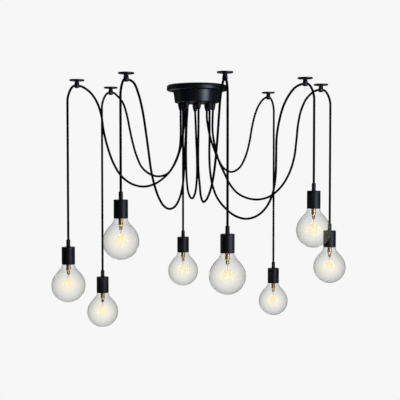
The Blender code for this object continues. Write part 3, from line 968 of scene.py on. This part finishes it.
@dataclass
class Canopy:
    """The two tiers against the ceiling, with the cap nut under them and the strap inside."""

    pendants: list[Pendant]
    wall: float = 0.0012
    gap: float = 0.0003
    sides: int = 128
    round_steps: int = 8
    pan_radius: float = 0.090
    pan_depth: float = 0.018
    pan_top_round: float = 0.006
    pan_bottom_round: float = 0.005
    collar_radius: float = 0.0672
    collar_depth: float = 0.005
    cup_top_radius: float = 0.0705
    cup_taper: float = 0.0045
    cup_depth: float = 0.0352
    cup_round: float = 0.004
    hole_radius: float = 0.0057
    nut_radius: float = 0.009
    nut_height: float = 0.011
    nut_bore_share: float = 0.72
    nut_straight_share: float = 0.5
    strap_thickness: float = 0.0025
    strap_corner: float = 0.006
    strap_edge: float = 0.0003
    slot_inset: float = 0.020
    slot_radius: float = 0.002
    slot_half: float = 0.006
    slot_cut: float = 0.004
    stud_radius: float = 0.004
    thread_pitch: float = 0.00125
    thread_depth: float = 0.00035
    thread_top: float = 0.002
    thread_end: float = 0.001

    @property
    def cup_top(self) -> float:
        """The cup's top edge."""
        return -self.pan_depth - self.gap

    @property
    def cup_floor(self) -> float:
        """The cup's underside."""
        return self.cup_top - self.cup_depth

    @property
    def gland_top(self) -> float:
        """Where the glands meet the cup."""
        return self.cup_floor - self.gap

    def build(self) -> None:
        """Build the canopy's pieces."""
        self.build_pan()
        self.build_cup()
        self.build_nut()
        low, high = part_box("mounting_strap")
        self.build_strap(2 * high[0], high[1] - low[1])
        self.build_stud(low[2])

    def shell(self, path: Outline) -> bmesh.types.BMesh:
        """Turn a section's outer path into a shell with one wall all over."""
        return turned(path + set_in(path, self.wall)[::-1], self.sides, ring=True)

    def build_pan(self) -> None:
        """Build the wide upper tier, with the collar that centres the cup."""
        top, bottom = self.pan_top_round, self.pan_bottom_round
        path = arc((self.pan_radius - top, -top), top, 90, 0, self.round_steps)
        path += arc((self.pan_radius - bottom, bottom - self.pan_depth), bottom, 0, -90, self.round_steps)
        path.append((self.collar_radius, -self.pan_depth))
        path.append((self.collar_radius, -self.pan_depth - self.collar_depth))
        make_piece("pan_shell", self.shell(path), Look.POWDER, "canopy_pan")

    def build_cup(self) -> None:
        """Build the narrow lower tier, with a hole for each gland."""
        bottom = self.cup_top_radius - self.cup_taper
        path = [(self.cup_top_radius, self.cup_top)]
        path += arc(
            (bottom - self.cup_round, self.cup_floor + self.cup_round), self.cup_round, 0, -90, self.round_steps
        )
        path.append((self.stud_radius + self.gap, self.cup_floor))
        cup = make_piece("cup_shell", self.shell(path), Look.POWDER, "canopy_cup")
        holes = bmesh.new()
        for pendant in self.pendants:
            low = pendant.gland + up(self.cup_floor - self.wall)
            high = pendant.gland + up(self.cup_floor + 2 * self.wall)
            take_in(holes, rod(low, high, self.hole_radius, sides=32))
        cut_with(cup, holes)

    def build_nut(self) -> None:
        """Build the domed nut that holds the canopy up."""
        top = self.cup_floor - self.gap
        bore, roof = self.stud_radius + self.gap, top - self.nut_height * self.nut_bore_share
        straight = top - self.nut_height * self.nut_straight_share
        dome = self.nut_height * (1 - self.nut_straight_share)
        outline = [(0.0, roof), (bore, roof), (bore, top), (self.nut_radius, top), (self.nut_radius, straight)]
        for across, down in arc((0.0, 0.0), 1.0, 0, -90, self.round_steps)[1:]:
            outline.append((self.nut_radius * across, straight + dome * down))
        outline[-1] = (0.0, top - self.nut_height)
        make_piece("cap_nut_dome", turned(outline, sides=48), Look.POWDER, "cap_nut")

    def build_strap(self, length: float, width: float) -> None:
        """Build the plated strap with its two slots.

        Args:
            length: its length.
            width: its width.
        """
        middle = up(-self.strap_thickness / 2)
        bm = block((length, width, self.strap_thickness), middle)
        corners = [edge for edge in bm.edges if abs(edge.verts[0].co.z - edge.verts[1].co.z) > MM]
        bmesh.ops.bevel(
            bm, geom=corners, offset=self.strap_corner, segments=self.round_steps, profile=0.5,
            affect="EDGES", material=-1,
        )
        soften(bm, self.strap_edge)
        strap = make_piece("strap_bar", bm, Look.STEEL, "mounting_strap")
        slots = bmesh.new()
        for side in (-1, 1):
            spot = middle + Vector((side * (length / 2 - self.slot_inset), 0, 0))
            reach = up(self.slot_cut)
            slot = rod(spot - reach, spot + reach, self.slot_radius, sides=24)
            for vert in slot.verts:
                vert.co.x += math.copysign(self.slot_half, vert.co.x - spot.x)
            take_in(slots, slot)
        cut_with(strap, slots)

    def build_stud(self, bottom: float) -> None:
        """Build the stud under the strap, with its thread drawn as close rings.

        Args:
            bottom: the stud's lower end.
        """
        top, radius = -self.strap_thickness, self.stud_radius
        outline = [(0.0, top), (radius, top)]
        height = top - self.thread_top
        while height - self.thread_pitch > bottom + self.thread_end:
            outline += [(radius, height), (radius - self.thread_depth, height - self.thread_pitch / 2)]
            height -= self.thread_pitch
        outline += [(radius, height), (radius - self.thread_depth, bottom), (0.0, bottom)]
        make_piece("strap_stud", turned(outline, sides=24), Look.STEEL, "mounting_strap", sharp=50)


@dataclass
class Wiring:
    """The two terminal strips under the strap, and the cords' cores that run to them."""

    pendants: list[Pendant]
    middle: float = 0.036
    poles: int = 4
    pitch: float = 0.008
    width: float = 0.017
    top: float = -0.0032
    height: float = 0.0075
    pole_share: float = 0.86
    pole_edge: float = 0.0006
    web_height: float = 0.0026
    web_shares: tuple[float, float] = (0.96, 0.55)
    tower_share: float = 0.27
    tower_radius: float = 0.0031
    tower_height: float = 0.0045
    tower_wall: float = 0.0009
    tower_root: float = 0.001
    tower_floor: float = 0.0012
    screw: tuple[tuple[float, float], ...] = (
        (0.0, 0.0), (0.0019, 0.0), (0.0019, -0.0026), (0.0015, -0.003), (0.0, -0.003),
    )
    tail_top: float = -0.0383
    core_radius: float = 0.0011
    core_spread: float = 0.00125
    core_overlap: float = 0.003
    core_rise: float = 0.008
    core_hump: float = 0.002
    core_sunk: float = 0.002
    core_reach: float = 0.007
    core_fall: float = 0.0005
    core_step: float = 0.0025

    def build(self) -> None:
        """Build the strips and the cores."""
        for name, side in (("left", -1), ("right", 1)):
            self.build_strip(name, side)
        self.build_cores("line", -1, Look.BROWN_CORE)
        self.build_cores("neutral", 1, Look.BLUE_CORE)

    def pole(self, side: int, number: int) -> float:
        """How far along the strap a pole's middle is."""
        return side * self.middle + (number - (self.poles - 1) / 2) * self.pitch

    def build_strip(self, name: str, side: int) -> None:
        """Build one terminal strip and its clamp screws, which face down.

        Args:
            name: which end of the strap it is on.
            side: that end, as -1 or 1.
        """
        strip, screws = bmesh.new(), bmesh.new()
        level, bottom = self.top - self.height / 2, self.top - self.height
        outer, inner = self.tower_radius, self.tower_radius - self.tower_wall
        tower_outline = [
            (0.0, self.tower_root), (outer, self.tower_root), (outer, -self.tower_height),
            (inner, -self.tower_height), (inner, -self.tower_floor), (0.0, -self.tower_floor),
        ]
        for number in range(self.poles):
            along = self.pole(side, number)
            pole = block((self.pole_share * self.pitch, self.width, self.height), Vector((along, 0, level)))
            soften(pole, self.pole_edge, steps=3)
            take_in(strip, pole)
            for across in (-self.tower_share * self.width, self.tower_share * self.width):
                for whole, outline, sides in ((strip, tower_outline, 24), (screws, list(self.screw), 20)):
                    part = turned(outline, sides)
                    bmesh.ops.translate(part, vec=Vector((along, across, bottom)), verts=part.verts)
                    take_in(whole, part)
        length, width = self.web_shares
        web = (self.poles * self.pitch * length, self.width * width, self.web_height)
        take_in(strip, block(web, Vector((side * self.middle, 0, level))))
        make_piece(f"terminal_strip_{name}", strip, Look.POLYAMIDE)
        make_piece(f"terminal_screws_{name}", screws, Look.BRASS)

    def build_cores(self, name: str, offset: int, look: Look) -> None:
        """Build one core of every cord, from the cord's tail to its pole.

        Args:
            name: what the core carries.
            offset: which side of its cord it leaves on, as -1 or 1.
            look: the insulation.
        """
        cores, used = bmesh.new(), {}
        for pendant in sorted(self.pendants, key=lambda each: each.gland.x):
            side = 1 if pendant.gland.x > 0 else -1
            edge = 1 if pendant.gland.y > 0 else -1
            place = used.get((side, edge), 0)
            used[side, edge] = place + 1
            number = place if offset < 0 else place + self.poles // 2
            port = Vector((self.pole(side, number), edge * self.width / 2, self.top - self.height / 2))
            around = Vector((-pendant.gland.y, pendant.gland.x, 0)).normalized()
            tail = pendant.gland + offset * self.core_spread * around + up(self.tail_top)
            out = port + Vector((0, edge * self.core_reach, -self.core_fall))
            rise = tail + up(self.core_rise)
            knots = [
                tail - up(self.core_overlap), rise,
                rise.lerp(out, 0.5) + up(self.core_hump), out,
                port - Vector((0, edge * self.core_sunk, 0)),
            ]
            line = evenly(smooth_curve(knots, steps=8), self.core_step)
            take_in(cores, tube(line, self.core_radius, sides=8))
        make_piece(f"cord_cores_{name}", cores, look)


@dataclass
class Fitting:
    """One of a pendant's sub-assemblies, whose pieces carry the pendant's number."""

    pendant: Pendant

    @property
    def body(self) -> str:
        """The body that it rides on."""
        return FIXED

    @property
    def origin(self) -> Vector | None:
        """Where the origin of its shapes goes, unless they are laid out in place."""
        return None

    def add(
        self, name: str, bm: bmesh.types.BMesh, look: Look, node: str | None = None, sharp: float = SHARP
    ) -> bpy.types.Object:
        """Make one of its pieces.

        Args:
            name: the piece's name without its number.
            bm: its shape, which is let go.
            look: its finish.
            node: the name without its number of the CAD node that it replaces, if any.
            sharp: the least turn between faces, in degrees, that stays a sharp edge.

        Returns:
            The piece.
        """
        number = self.pendant.number
        node = f"{node}_{number}" if node else None
        return make_piece(f"{name}_{number}", bm, look, node, self.body, self.origin, sharp)


@dataclass
class Gland(Fitting):
    """A conical cord gland under the cup, with its nut inside."""

    top: float
    top_radius: float = 0.0081
    collar: float = 0.007
    length: float = 0.021
    bore: float = 0.0036
    tip_radius: float = 0.0050
    edge: float = 0.00045
    shank_radius: float = 0.0052
    shank_length: float = 0.0095
    nut_radius: float = 0.008
    nut_height: float = 0.004
    nut_edge: float = 0.0004
    nut_play: float = 0.0001
    floor: float = 0.0018

    @property
    def origin(self) -> Vector:
        """The gland's middle."""
        return self.pendant.gland

    def build(self) -> None:
        """Build the gland and its nut."""
        top, tip = self.top, self.top - self.length
        body = turned([
            (self.bore, top + self.shank_length), (self.shank_radius, top + self.shank_length),
            (self.shank_radius, top), (self.top_radius, top), (self.top_radius, top - self.collar),
            (self.tip_radius, tip), (self.bore, tip),
        ], sides=40, ring=True)
        soften(body, self.edge, steps=3, turn=25)
        self.add("gland_cone", body, Look.NYLON, "cord_gland")
        nut = bmesh.new()
        bmesh.ops.create_cone(
            nut, cap_ends=True, segments=6, radius1=self.nut_radius, radius2=self.nut_radius,
            depth=self.nut_height, matrix=Matrix.Translation((0, 0, top + self.floor + self.nut_height / 2)),
        )
        soften(nut, self.nut_edge)
        inner = self.add("gland_nut", nut, Look.NYLON)
        low, high = (self.origin + up(height) for height in (top, top + self.length))
        cut_with(inner, rod(low, high, self.shank_radius + self.nut_play, sides=32))


@dataclass
class Hook(Fitting):
    """A ceiling hook: a round plate and a post with a cross hole, and the screw that clamps the cord."""

    plate_radius: float = 0.021
    plate_thickness: float = 0.004
    plate_round: float = 0.0015
    neck_radius: float = 0.0058
    neck_fillet: float = 0.001
    post_radius: float = 0.007
    swell: float = 0.0125
    drop: float = 0.0240
    post_round: float = 0.0035
    hole_fall: float = 0.0175
    hole_radius: float = 0.0037
    hole_cut: float = 0.002
    screw_sunk: float = 0.0006
    screw_height: float = 0.0014
    screw_radius: float = 0.0017
    screw_edge: float = 0.00035
    socket_start: float = 0.0007
    socket_end: float = 0.002
    socket_radius: float = 0.00085

    def build(self) -> None:
        """Build the plate with its post, and the clamp screw."""
        middle = self.pendant.hook - up(self.hole_fall)
        self.build_post(middle)
        self.build_screw(middle)

    def build_post(self, middle: Vector) -> None:
        """Build the plate with its post.

        Args:
            middle: the middle of the cord's hole.
        """
        outline = [(0.0, 0.0), (self.plate_radius, 0.0)]
        outline += arc(
            (self.plate_radius - self.plate_round, self.plate_round - self.plate_thickness),
            self.plate_round, 0, -90, steps=4,
        )
        outline.append((self.neck_radius + self.neck_fillet, -self.plate_thickness))
        outline.append((self.neck_radius, -self.plate_thickness - self.neck_fillet))
        outline.append((self.post_radius, -self.swell))
        outline += arc(
            (self.post_radius - self.post_round, self.post_round - self.drop), self.post_round, 0, -90, steps=6
        )
        outline.append((0.0, -self.drop))
        post = turned(outline, sides=64)
        bmesh.ops.translate(post, vec=self.pendant.hook, verts=post.verts)
        piece = self.add("hook_post", post, Look.POWDER, "ceiling_hook")
        across = (self.post_radius + self.hole_cut) * self.pendant.way
        cut_with(piece, rod(middle - across, middle + across, self.hole_radius, sides=32))
        piece.data.set_sharp_from_angle(angle=math.radians(SHARP))

    def build_screw(self, middle: Vector) -> None:
        """Build the clamp screw, in the side of the post that faces the room's front.

        Args:
            middle: the middle of the cord's hole.
        """
        side = Vector((self.pendant.way.y, -self.pendant.way.x, 0))
        if side.y > 0:
            side = -side
        seat = middle + (self.post_radius - self.screw_sunk) * side
        screw = rod(seat, seat + self.screw_height * side, self.screw_radius, sides=24)
        soften(screw, self.screw_edge, steps=3)
        head = self.add("clamp_screw", screw, Look.STEEL)
        start, end = seat + self.socket_start * side, seat + self.socket_end * side
        cut_with(head, rod(start, end, self.socket_radius, sides=6))


@dataclass
class Cord:
    """A round textile cord: a swag from the gland over the hook, and a straight drop to the holder."""

    pendant: Pendant
    exit_height: float
    radius: float = 0.0033
    sides: int = 16
    ring_spacing: float = 0.004
    inside_gland: float = 0.025
    hook_straight: float = 0.0078
    hook_face: float = 0.0068
    arch_reach: float = 0.028
    arch_fall: float = 0.0457
    joint_height: float = -0.060
    bend_end: float = -0.078

    def swag_path(self) -> list[Vector]:
        """Lay the swag's line, from inside the gland over the hook to the top of the drop.

        Returns:
            The middles of its rings.
        """
        pendant = self.pendant
        route = [(0.0, self.exit_height + self.inside_gland), (0.0, self.exit_height)]
        route += [(share * pendant.run, -fall) for share, fall in ROUTES[pendant.number]]
        for from_hook in (-self.hook_straight, -self.hook_face, self.hook_face, self.hook_straight):
            route.append((pendant.run + from_hook, -Hook.hole_fall))
        for reach, fall in ARCH_SHARES:
            height = -Hook.hole_fall - fall * self.arch_fall
            if height > self.joint_height:
                route.append((pendant.run + reach * self.arch_reach, height))
        route.append((pendant.run + self.arch_reach, self.joint_height))
        return evenly(smooth_curve([pendant.over(*point) for point in route]), self.ring_spacing)

    def drop_path(self) -> list[Vector]:
        """Lay the drop's line, from the swag's end into the holder.

        Returns:
            The middles of its rings.
        """
        drop = self.pendant.drop
        top = Vector((drop.x, drop.y, self.joint_height))
        bottom = Vector((drop.x, drop.y, self.pendant.holder_top - Holder.cord_end))
        return evenly([top, bottom], self.ring_spacing)

    def build(self) -> None:
        """Build the cord's two stretches."""
        pendant, number = self.pendant, self.pendant.number
        swag, drop = self.swag_path(), self.drop_path()
        swag_length, drop_length = (
            sum((there - here).length for here, there in zip(path, path[1:])) for path in (swag, drop)
        )
        sleeve = tube(swag, self.radius, self.sides)
        upper = make_piece(f"swag_sleeve_{number}", sleeve, Look.BRAID, f"swag_cord_{number}")
        sleeve = tube(drop, self.radius, self.sides, swag_length)
        lower = make_piece(f"drop_sleeve_{number}", sleeve, Look.BRAID, f"drop_cord_{number}", None)
        pendant.body
        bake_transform(lower)
        LOG.info("cord %d: %.3f m", number, swag_length + drop_length)


@dataclass
class Holder(Fitting):
    """A lamp holder: a slim cord grip on top, a plain black shell, and the socket insert inside."""

    grip_radius: float = 0.00565
    grip_length: float = 0.0205
    grip_bore: float = 0.0036
    grip_sunk: float = 0.002
    grip_taper: float = 0.0005
    grip_taper_length: float = 0.0035
    grip_edge: float = 0.0003
    shell_radius: float = 0.0185
    shell_length: float = 0.0485
    shell_wall: float = 0.0012
    shell_round: float = 0.0012
    shell_roof: float = 0.0017
    cord_end: float = 0.0097
    insert_radius: float = 0.0171
    insert_top: float = 0.003
    insert_length: float = 0.036
    insert_roof: float = 0.0143
    cap_bore: float = 0.0136
    thread_depth: float = 0.0008
    thread_end: float = 0.002

    @property
    def body(self) -> str:
        """The body that swings with the drop."""
        return self.pendant.body

    @property
    def origin(self) -> Vector:
        """The middle of the holder's top."""
        return self.pendant.place

    def build(self) -> None:
        """Build the grip, the shell and the insert."""
        self.build_grip()
        self.build_shell()
        self.build_insert()

    def build_grip(self) -> None:
        """Build the slim collar that grips the cord."""
        collar = turned([
            (self.grip_bore, -self.grip_sunk), (self.grip_radius, -self.grip_sunk),
            (self.grip_radius, self.grip_length - self.grip_taper_length),
            (self.grip_radius - self.grip_taper, self.grip_length), (self.grip_bore, self.grip_length),
        ], sides=40, ring=True)
        soften(collar, self.grip_edge, steps=3, turn=12)
        self.add("cord_grip", collar, Look.MATT)

    def build_shell(self) -> None:
        """Build the plain cylinder, open at the bottom."""
        inside = self.shell_radius - self.shell_wall
        path = [(self.grip_bore, 0.0)]
        path += arc((self.shell_radius - self.shell_round, -self.shell_round), self.shell_round, 90, 0, steps=5)
        path += [(self.shell_radius, -self.shell_length), (inside, -self.shell_length)]
        path += [(inside, -self.shell_roof), (self.grip_bore, -self.shell_roof)]
        self.add("holder_shell", turned(path, sides=72, ring=True), Look.MATT, "lamp_holder")

    def build_insert(self) -> None:
        """Build the socket insert, with the rolled thread that takes the lamp's cap."""
        insert = [(0.0, -self.cord_end), (self.grip_bore, -self.cord_end), (self.grip_bore, -self.insert_top)]
        insert += [(self.insert_radius, -self.insert_top), (self.insert_radius, -self.insert_length)]
        height = -self.insert_length
        while height + CAP_PITCH < -self.insert_roof - self.thread_end:
            insert.append((self.cap_bore + self.thread_depth, height + CAP_PITCH * 0.25))
            insert.append((self.cap_bore, height + CAP_PITCH * 0.75))
            height += CAP_PITCH
        insert += [(self.cap_bore, -self.insert_roof), (0.0, -self.insert_roof)]
        self.add("socket_insert", turned(insert, sides=48), Look.CERAMIC)


@dataclass
class Lamp(Fitting):
    """A globe lamp: screw cap, brass sleeve and twisted stem, glowing filament, and a thin blown globe."""

    cap_radius: float = 0.0132
    cap_top: float = 0.0196
    cap_bottom: float = 0.0386
    thread_depth: float = 0.0012
    thread_end: float = 0.001
    lip: float = 0.0006
    insulator_radius: float = 0.0098
    contact_radius: float = 0.0045
    contact_top: float = 0.0146
    contact_height: float = 0.0015
    mouth: float = 0.0485
    sleeve_radius: float = 0.0064
    sleeve_start: float = 0.004
    sleeve_end: float = 0.0175
    ribs: int = 5
    rib_gap: float = 0.0006
    rib_depth: float = 0.0008
    twist_radius: float = 0.0047
    twist_end: float = 0.029
    twist_turns: int = 4
    steps_a_turn: int = 4
    twist_depth: float = 0.0009
    twist_edge: float = 0.0004
    twist_gap: float = 0.001
    wire_radius: float = 0.0008
    wire_start: float = 0.0012
    wire_end: float = 0.039
    loops: int = 8
    leg_radius: float = 0.00022
    leg_root: float = 0.001
    leg_hump: float = 0.0008
    cage_top: float = 0.045
    cage_bottom: float = 0.061
    cage_top_radius: float = 0.0075
    cage_bottom_radius: float = 0.012
    filament_radius: float = 0.00045
    filament_step: float = 0.0012
    glow_power: float = 0.15
    glow_colour: str = "#FFF0D8"
    glow_size: float = 0.02
    wall: float = 0.0008
    neck_start: float = 0.0003
    neck_radius: float = 0.0163
    globe_radius: float = 0.0475
    globe_middle: float = 0.0597
    # Where the glass's painted glow is centred below the mouth, and how far from that level it fades out.
    painted_glow_level: float = 0.060
    painted_glow_reach: float = 0.034

    # The globe's flare, measured down from the holder's mouth: depth and radius.
    flare: tuple[tuple[float, float], ...] = (
        (0.004, 0.0184), (0.0085, 0.0200), (0.0115, 0.0218), (0.015, 0.0244), (0.0185, 0.0278),
        (0.022, 0.0312), (0.026, 0.0343), (0.031, 0.03785), (0.037, 0.0417), (0.043, 0.04446), (0.051, 0.0467),
    )
    # One turn of the cap's rolled thread: shares of its pitch and of its depth.
    rolled: tuple[tuple[float, float], ...] = ((0.0, 0.35), (0.25, 1.0), (0.5, 0.35), (0.75, 0.0))

    @property
    def body(self) -> str:
        """The body that turns with the lamp."""
        return self.pendant.lamp_body

    @property
    def origin(self) -> Vector:
        """The middle of the holder's top, which the lamp's levels are measured from."""
        return self.pendant.place

    def build(self) -> None:
        """Build the lamp's pieces."""
        self.build_cap()
        self.build_stem()
        self.build_legs()
        self.build_filament()
        self.build_glass()
        self.build_glow()

    def build_cap(self) -> None:
        """Build the screw cap, with its rolled thread and its contact."""
        root = self.cap_radius - self.thread_depth
        outline = [(0.0, -self.contact_top), (self.contact_radius, -self.contact_top)]
        outline.append((self.contact_radius, -self.contact_top - self.contact_height))
        outline += [(self.insulator_radius, -self.cap_top + self.thread_depth), (root, -self.cap_top)]
        depth = self.cap_top + self.thread_depth
        while depth + CAP_PITCH < self.cap_bottom - self.thread_end:
            for share, swell in self.rolled:
                outline.append((root + self.thread_depth * swell, -depth - share * CAP_PITCH))
            depth += CAP_PITCH
        outline += [(self.cap_radius - self.lip, -depth), (self.cap_radius, -self.cap_bottom)]
        outline.append((0.0, -self.cap_bottom))
        self.add("lamp_cap", turned(outline, sides=48), Look.BRASS, "lamp_base", sharp=55)

    def build_stem(self) -> None:
        """Build the ribbed sleeve, the twisted part under it and the bare wire, in one turned piece."""
        sleeve, twist = self.mouth + self.sleeve_end, self.mouth + self.twist_end
        outline = [(0.0, -self.cap_bottom), (self.sleeve_radius, -self.cap_bottom)]
        start = self.cap_bottom + self.sleeve_start
        for rib in range(self.ribs):
            low, high = (start + (sleeve - start) * edge / self.ribs for edge in (rib, rib + 1))
            outline += [(self.sleeve_radius, -low - self.rib_gap), (self.sleeve_radius, -high + self.rib_gap)]
            outline.append((self.sleeve_radius - self.rib_depth, -high))
        outline.append((self.twist_radius + self.twist_edge, -sleeve - self.twist_edge))
        steps, begin = self.twist_turns * self.steps_a_turn, sleeve + self.twist_gap
        for step in range(steps + 1):
            hollow = 0.5 - 0.5 * math.cos(math.tau * step / self.steps_a_turn)
            radius = self.twist_radius - self.twist_depth * hollow
            outline.append((radius, -begin - (twist - begin) * step / steps))
        outline.append((self.wire_radius, -twist - self.wire_start))
        outline += [(self.wire_radius, -self.mouth - self.wire_end), (0.0, -self.mouth - self.wire_end)]
        self.add("lamp_stem", turned(outline, sides=36), Look.BRASS, sharp=30)

    def build_legs(self) -> None:
        """Build the fine supports that carry the filament."""
        legs = bmesh.new()
        foot = up(-self.mouth - self.wire_end + self.leg_root)
        for leg in range(self.loops):
            angle = math.tau * leg / self.loops
            out = Vector((math.cos(angle), math.sin(angle), 0))
            knee = self.cage_top_radius * out + up(-self.mouth - self.cage_top)
            bend = smooth_curve([foot, foot.lerp(knee, 0.5) + up(self.leg_hump), knee], steps=6)
            take_in(legs, tube(bend, self.leg_radius, sides=6))
        self.add("filament_legs", legs, Look.BRASS)

    def build_filament(self) -> None:
        """Build the glowing wire that runs up and down between its supports."""
        ends = (self.cage_top, self.cage_top_radius), (self.cage_bottom, self.cage_bottom_radius)
        points = []
        for turn in range(2 * self.loops - 1):
            angle = math.tau * turn / (2 * self.loops)
            level, radius = ends[turn % 2]
            points.append(Vector((radius * math.cos(angle), radius * math.sin(angle), -self.mouth - level)))
        line = evenly(smooth_curve(points, steps=8), self.filament_step)
        self.add("filament", tube(line, self.filament_radius, sides=6), Look.FILAMENT)

    def build_glow(self) -> None:
        """Build the lit filament's own light, which shines on the brass above it."""
        name = f"filament_light_{self.pendant.number}"
        data = bpy.data.lights.new(name, "POINT")
        data.energy = self.glow_power
        data.color = linear(self.glow_colour)[:3]
        data.shadow_soft_size = self.glow_size
        light = add_object(name, data)
        light.location = self.pendant.place - up(self.mouth + self.cage_bottom)
        light.visible_camera = False

    def build_glass(self) -> None:
        """Build the blown globe from the measured flare, with one wall all over."""
        middle = -self.mouth - self.globe_middle
        knots = [Vector((self.cap_radius, -self.cap_bottom - self.neck_start))]
        knots.append(Vector((self.neck_radius, -self.mouth)))
        knots += [Vector((radius, -self.mouth - depth)) for depth, radius in self.flare]
        knots.append(Vector((self.globe_radius, middle)))
        path = [(knot.x, knot.y) for knot in smooth_curve(knots, steps=4)]
        path += arc((0.0, middle), self.globe_radius, 0, -90, steps=22)[1:]
        path[-1] = (0.0, path[-1][1])
        inside = set_in(path, self.wall)
        inside[-1] = (0.0, inside[-1][1])
        inside[0] = (inside[0][0], path[0][1])
        glass = turned(path[::-1] + inside, sides=80)
        piece = self.add("lamp_glass", glass, Look.GLASS, "lamp_globe", sharp=60)
        # The painted glow's mask: 1 at the filament's level, falling to 0 a reach above or below.
        glow_near = piece.data.attributes.new(PAINTED_GLOW_MASK, "FLOAT", "POINT")
        filament = self.pendant.holder_top - self.mouth - self.painted_glow_level
        for vert, value in zip(piece.data.vertices, glow_near.data):
            share = abs(vert.co.z - filament) / self.painted_glow_reach
            value.value = max(0.0, 1.0 - share * share)


@dataclass(frozen=True)
class Softbox:
    """One soft light: its place, its width and height in metres, its power in watts, and its colour."""

    name: str
    place: tuple[float, float, float]
    size: tuple[float, float]
    power: float
    colour: str

    def build(self) -> None:
        """Build the softbox, facing the light's middle."""
        data = bpy.data.lights.new(self.name, "AREA")
        data.shape = "RECTANGLE"
        data.size, data.size_y = self.size
        data.energy = self.power
        data.color = linear(self.colour)[:3]
        light = add_object(self.name, data)
        light.location = self.place
        light.rotation_euler = (Vector(LIGHT_MIDDLE) - Vector(self.place)).to_track_quat("-Z", "Y").to_euler()
        light.visible_camera = False


# The key stands low on the right, where the photograph's highlights come from. The fills behind stand high and
# low, so that the canopy's and hooks' undersides don't mirror them.
SOFTBOXES = (
    Softbox("key_softbox", (1.25, -1.30, -0.40), (1.0, 1.1), 22.5, "#D8E2FF"),
    Softbox("top_fill", (-0.7, 1.5, 2.0), (1.2, 1.2), 12.0, "#FFFFFF"),
    Softbox("back_fill", (-0.5, 2.4, 1.0), (2.4, 1.6), 12.0, "#F4F6FF"),
    Softbox("low_back_fill", (-0.7, 2.1, -1.8), (2.0, 0.9), 8.0, "#F4F6FF"),
    Softbox("left_fill", (-1.9, 0.5, -0.4), (1.2, 1.4), 0.8, "#FFFFFF"),
)


@dataclass
class Studio:
    """A pale floor far below, a pale backdrop, the soft lights, and the camera."""

    floor_height: float = -3.6
    floor_radius: float = 3.4
    floor_paint: str = "#8A8A88"
    floor_seen: str = "#F0F0EE"
    floor_roughness: float = 0.9
    backdrop: str = "#F7F7F7"
    room: str = "#C8CCD4"
    room_strength: float = 0.05
    camera_place: tuple[float, float, float] = (0.0096, -2.553, -0.2476)
    camera_tilt: float = 2.156
    lens: float = 76.5
    sensor: float = 36.0
    view_depth: float = 50.0

    def build(self) -> None:
        """Build the studio."""
        bpy.context.scene.view_settings.view_transform = "Standard"
        self.build_floor()
        self.build_world()
        for softbox in SOFTBOXES:
            softbox.build()
        self.build_camera()

    def build_floor(self) -> None:
        """Build the round floor, whose paint looks pale and throws little light back up."""
        bm = bmesh.new()
        bmesh.ops.create_circle(bm, cap_ends=True, segments=96, radius=self.floor_radius)
        bmesh.ops.translate(bm, vec=(0, 0, self.floor_height), verts=bm.verts)
        material, shader = start_material("pale_studio_floor", {
            "Base Color": linear(self.floor_paint), "Emission Color": linear(self.floor_seen),
            "Roughness": self.floor_roughness,
        })
        path = add_node(material.node_tree, "ShaderNodeLightPath")
        material.node_tree.links.new(path.outputs["Is Camera Ray"], shader.inputs["Emission Strength"])
        floor = add_object("floor", to_mesh("floor", bm))
        floor.data.materials.append(material)

    def build_world(self) -> None:
        """Build the pale backdrop, which lights the pieces only dimly."""
        world = bpy.data.worlds.new("studio")
        world.use_nodes = True
        bpy.context.scene.world = world
        tree = world.node_tree
        tree.nodes.clear()
        shades = {0: add_node(tree, "ShaderNodeLightPath").outputs["Is Camera Ray"]}
        for index, colour, strength in ((1, self.room, self.room_strength), (2, self.backdrop, 1.0)):
            shade = {"Color": linear(colour), "Strength": strength}
            shades[index] = add_node(tree, "ShaderNodeBackground", shade).outputs[0]
        mix = add_node(tree, "ShaderNodeMixShader", None, shades)
        add_node(tree, "ShaderNodeOutputWorld", None, {"Surface": mix.outputs[0]})

    def build_camera(self) -> None:
        """Build the camera at the photograph's angle."""
        data = bpy.data.cameras.new("camera")
        data.sensor_width = self.sensor
        data.lens = self.lens
        data.clip_end = self.view_depth
        camera = add_object("camera", data)
        camera.location = self.camera_place
        camera.rotation_euler = (math.radians(90 - self.camera_tilt), 0.0, 0.0)
        bpy.context.scene.camera = camera


def main() -> None:
    """Build the studio, then the light from the ceiling down."""
    logging.basicConfig(level=logging.INFO, format="%(name)s: %(message)s", stream=sys.stdout)
    Studio().build()
    pendants = [Pendant.from_frame(number, Holder.grip_length) for number in ROUTES]
    canopy = Canopy(pendants)
    for pendant in pendants:
        Cord(pendant, canopy.gland_top - Gland.length).build()
    canopy.build()
    Wiring(pendants).build()
    for pendant in pendants:
        Gland(pendant, canopy.gland_top).build()
        for kind in (Hook, Holder, Lamp):
            kind(pendant).build()


if __name__ == "__main__":
    main()
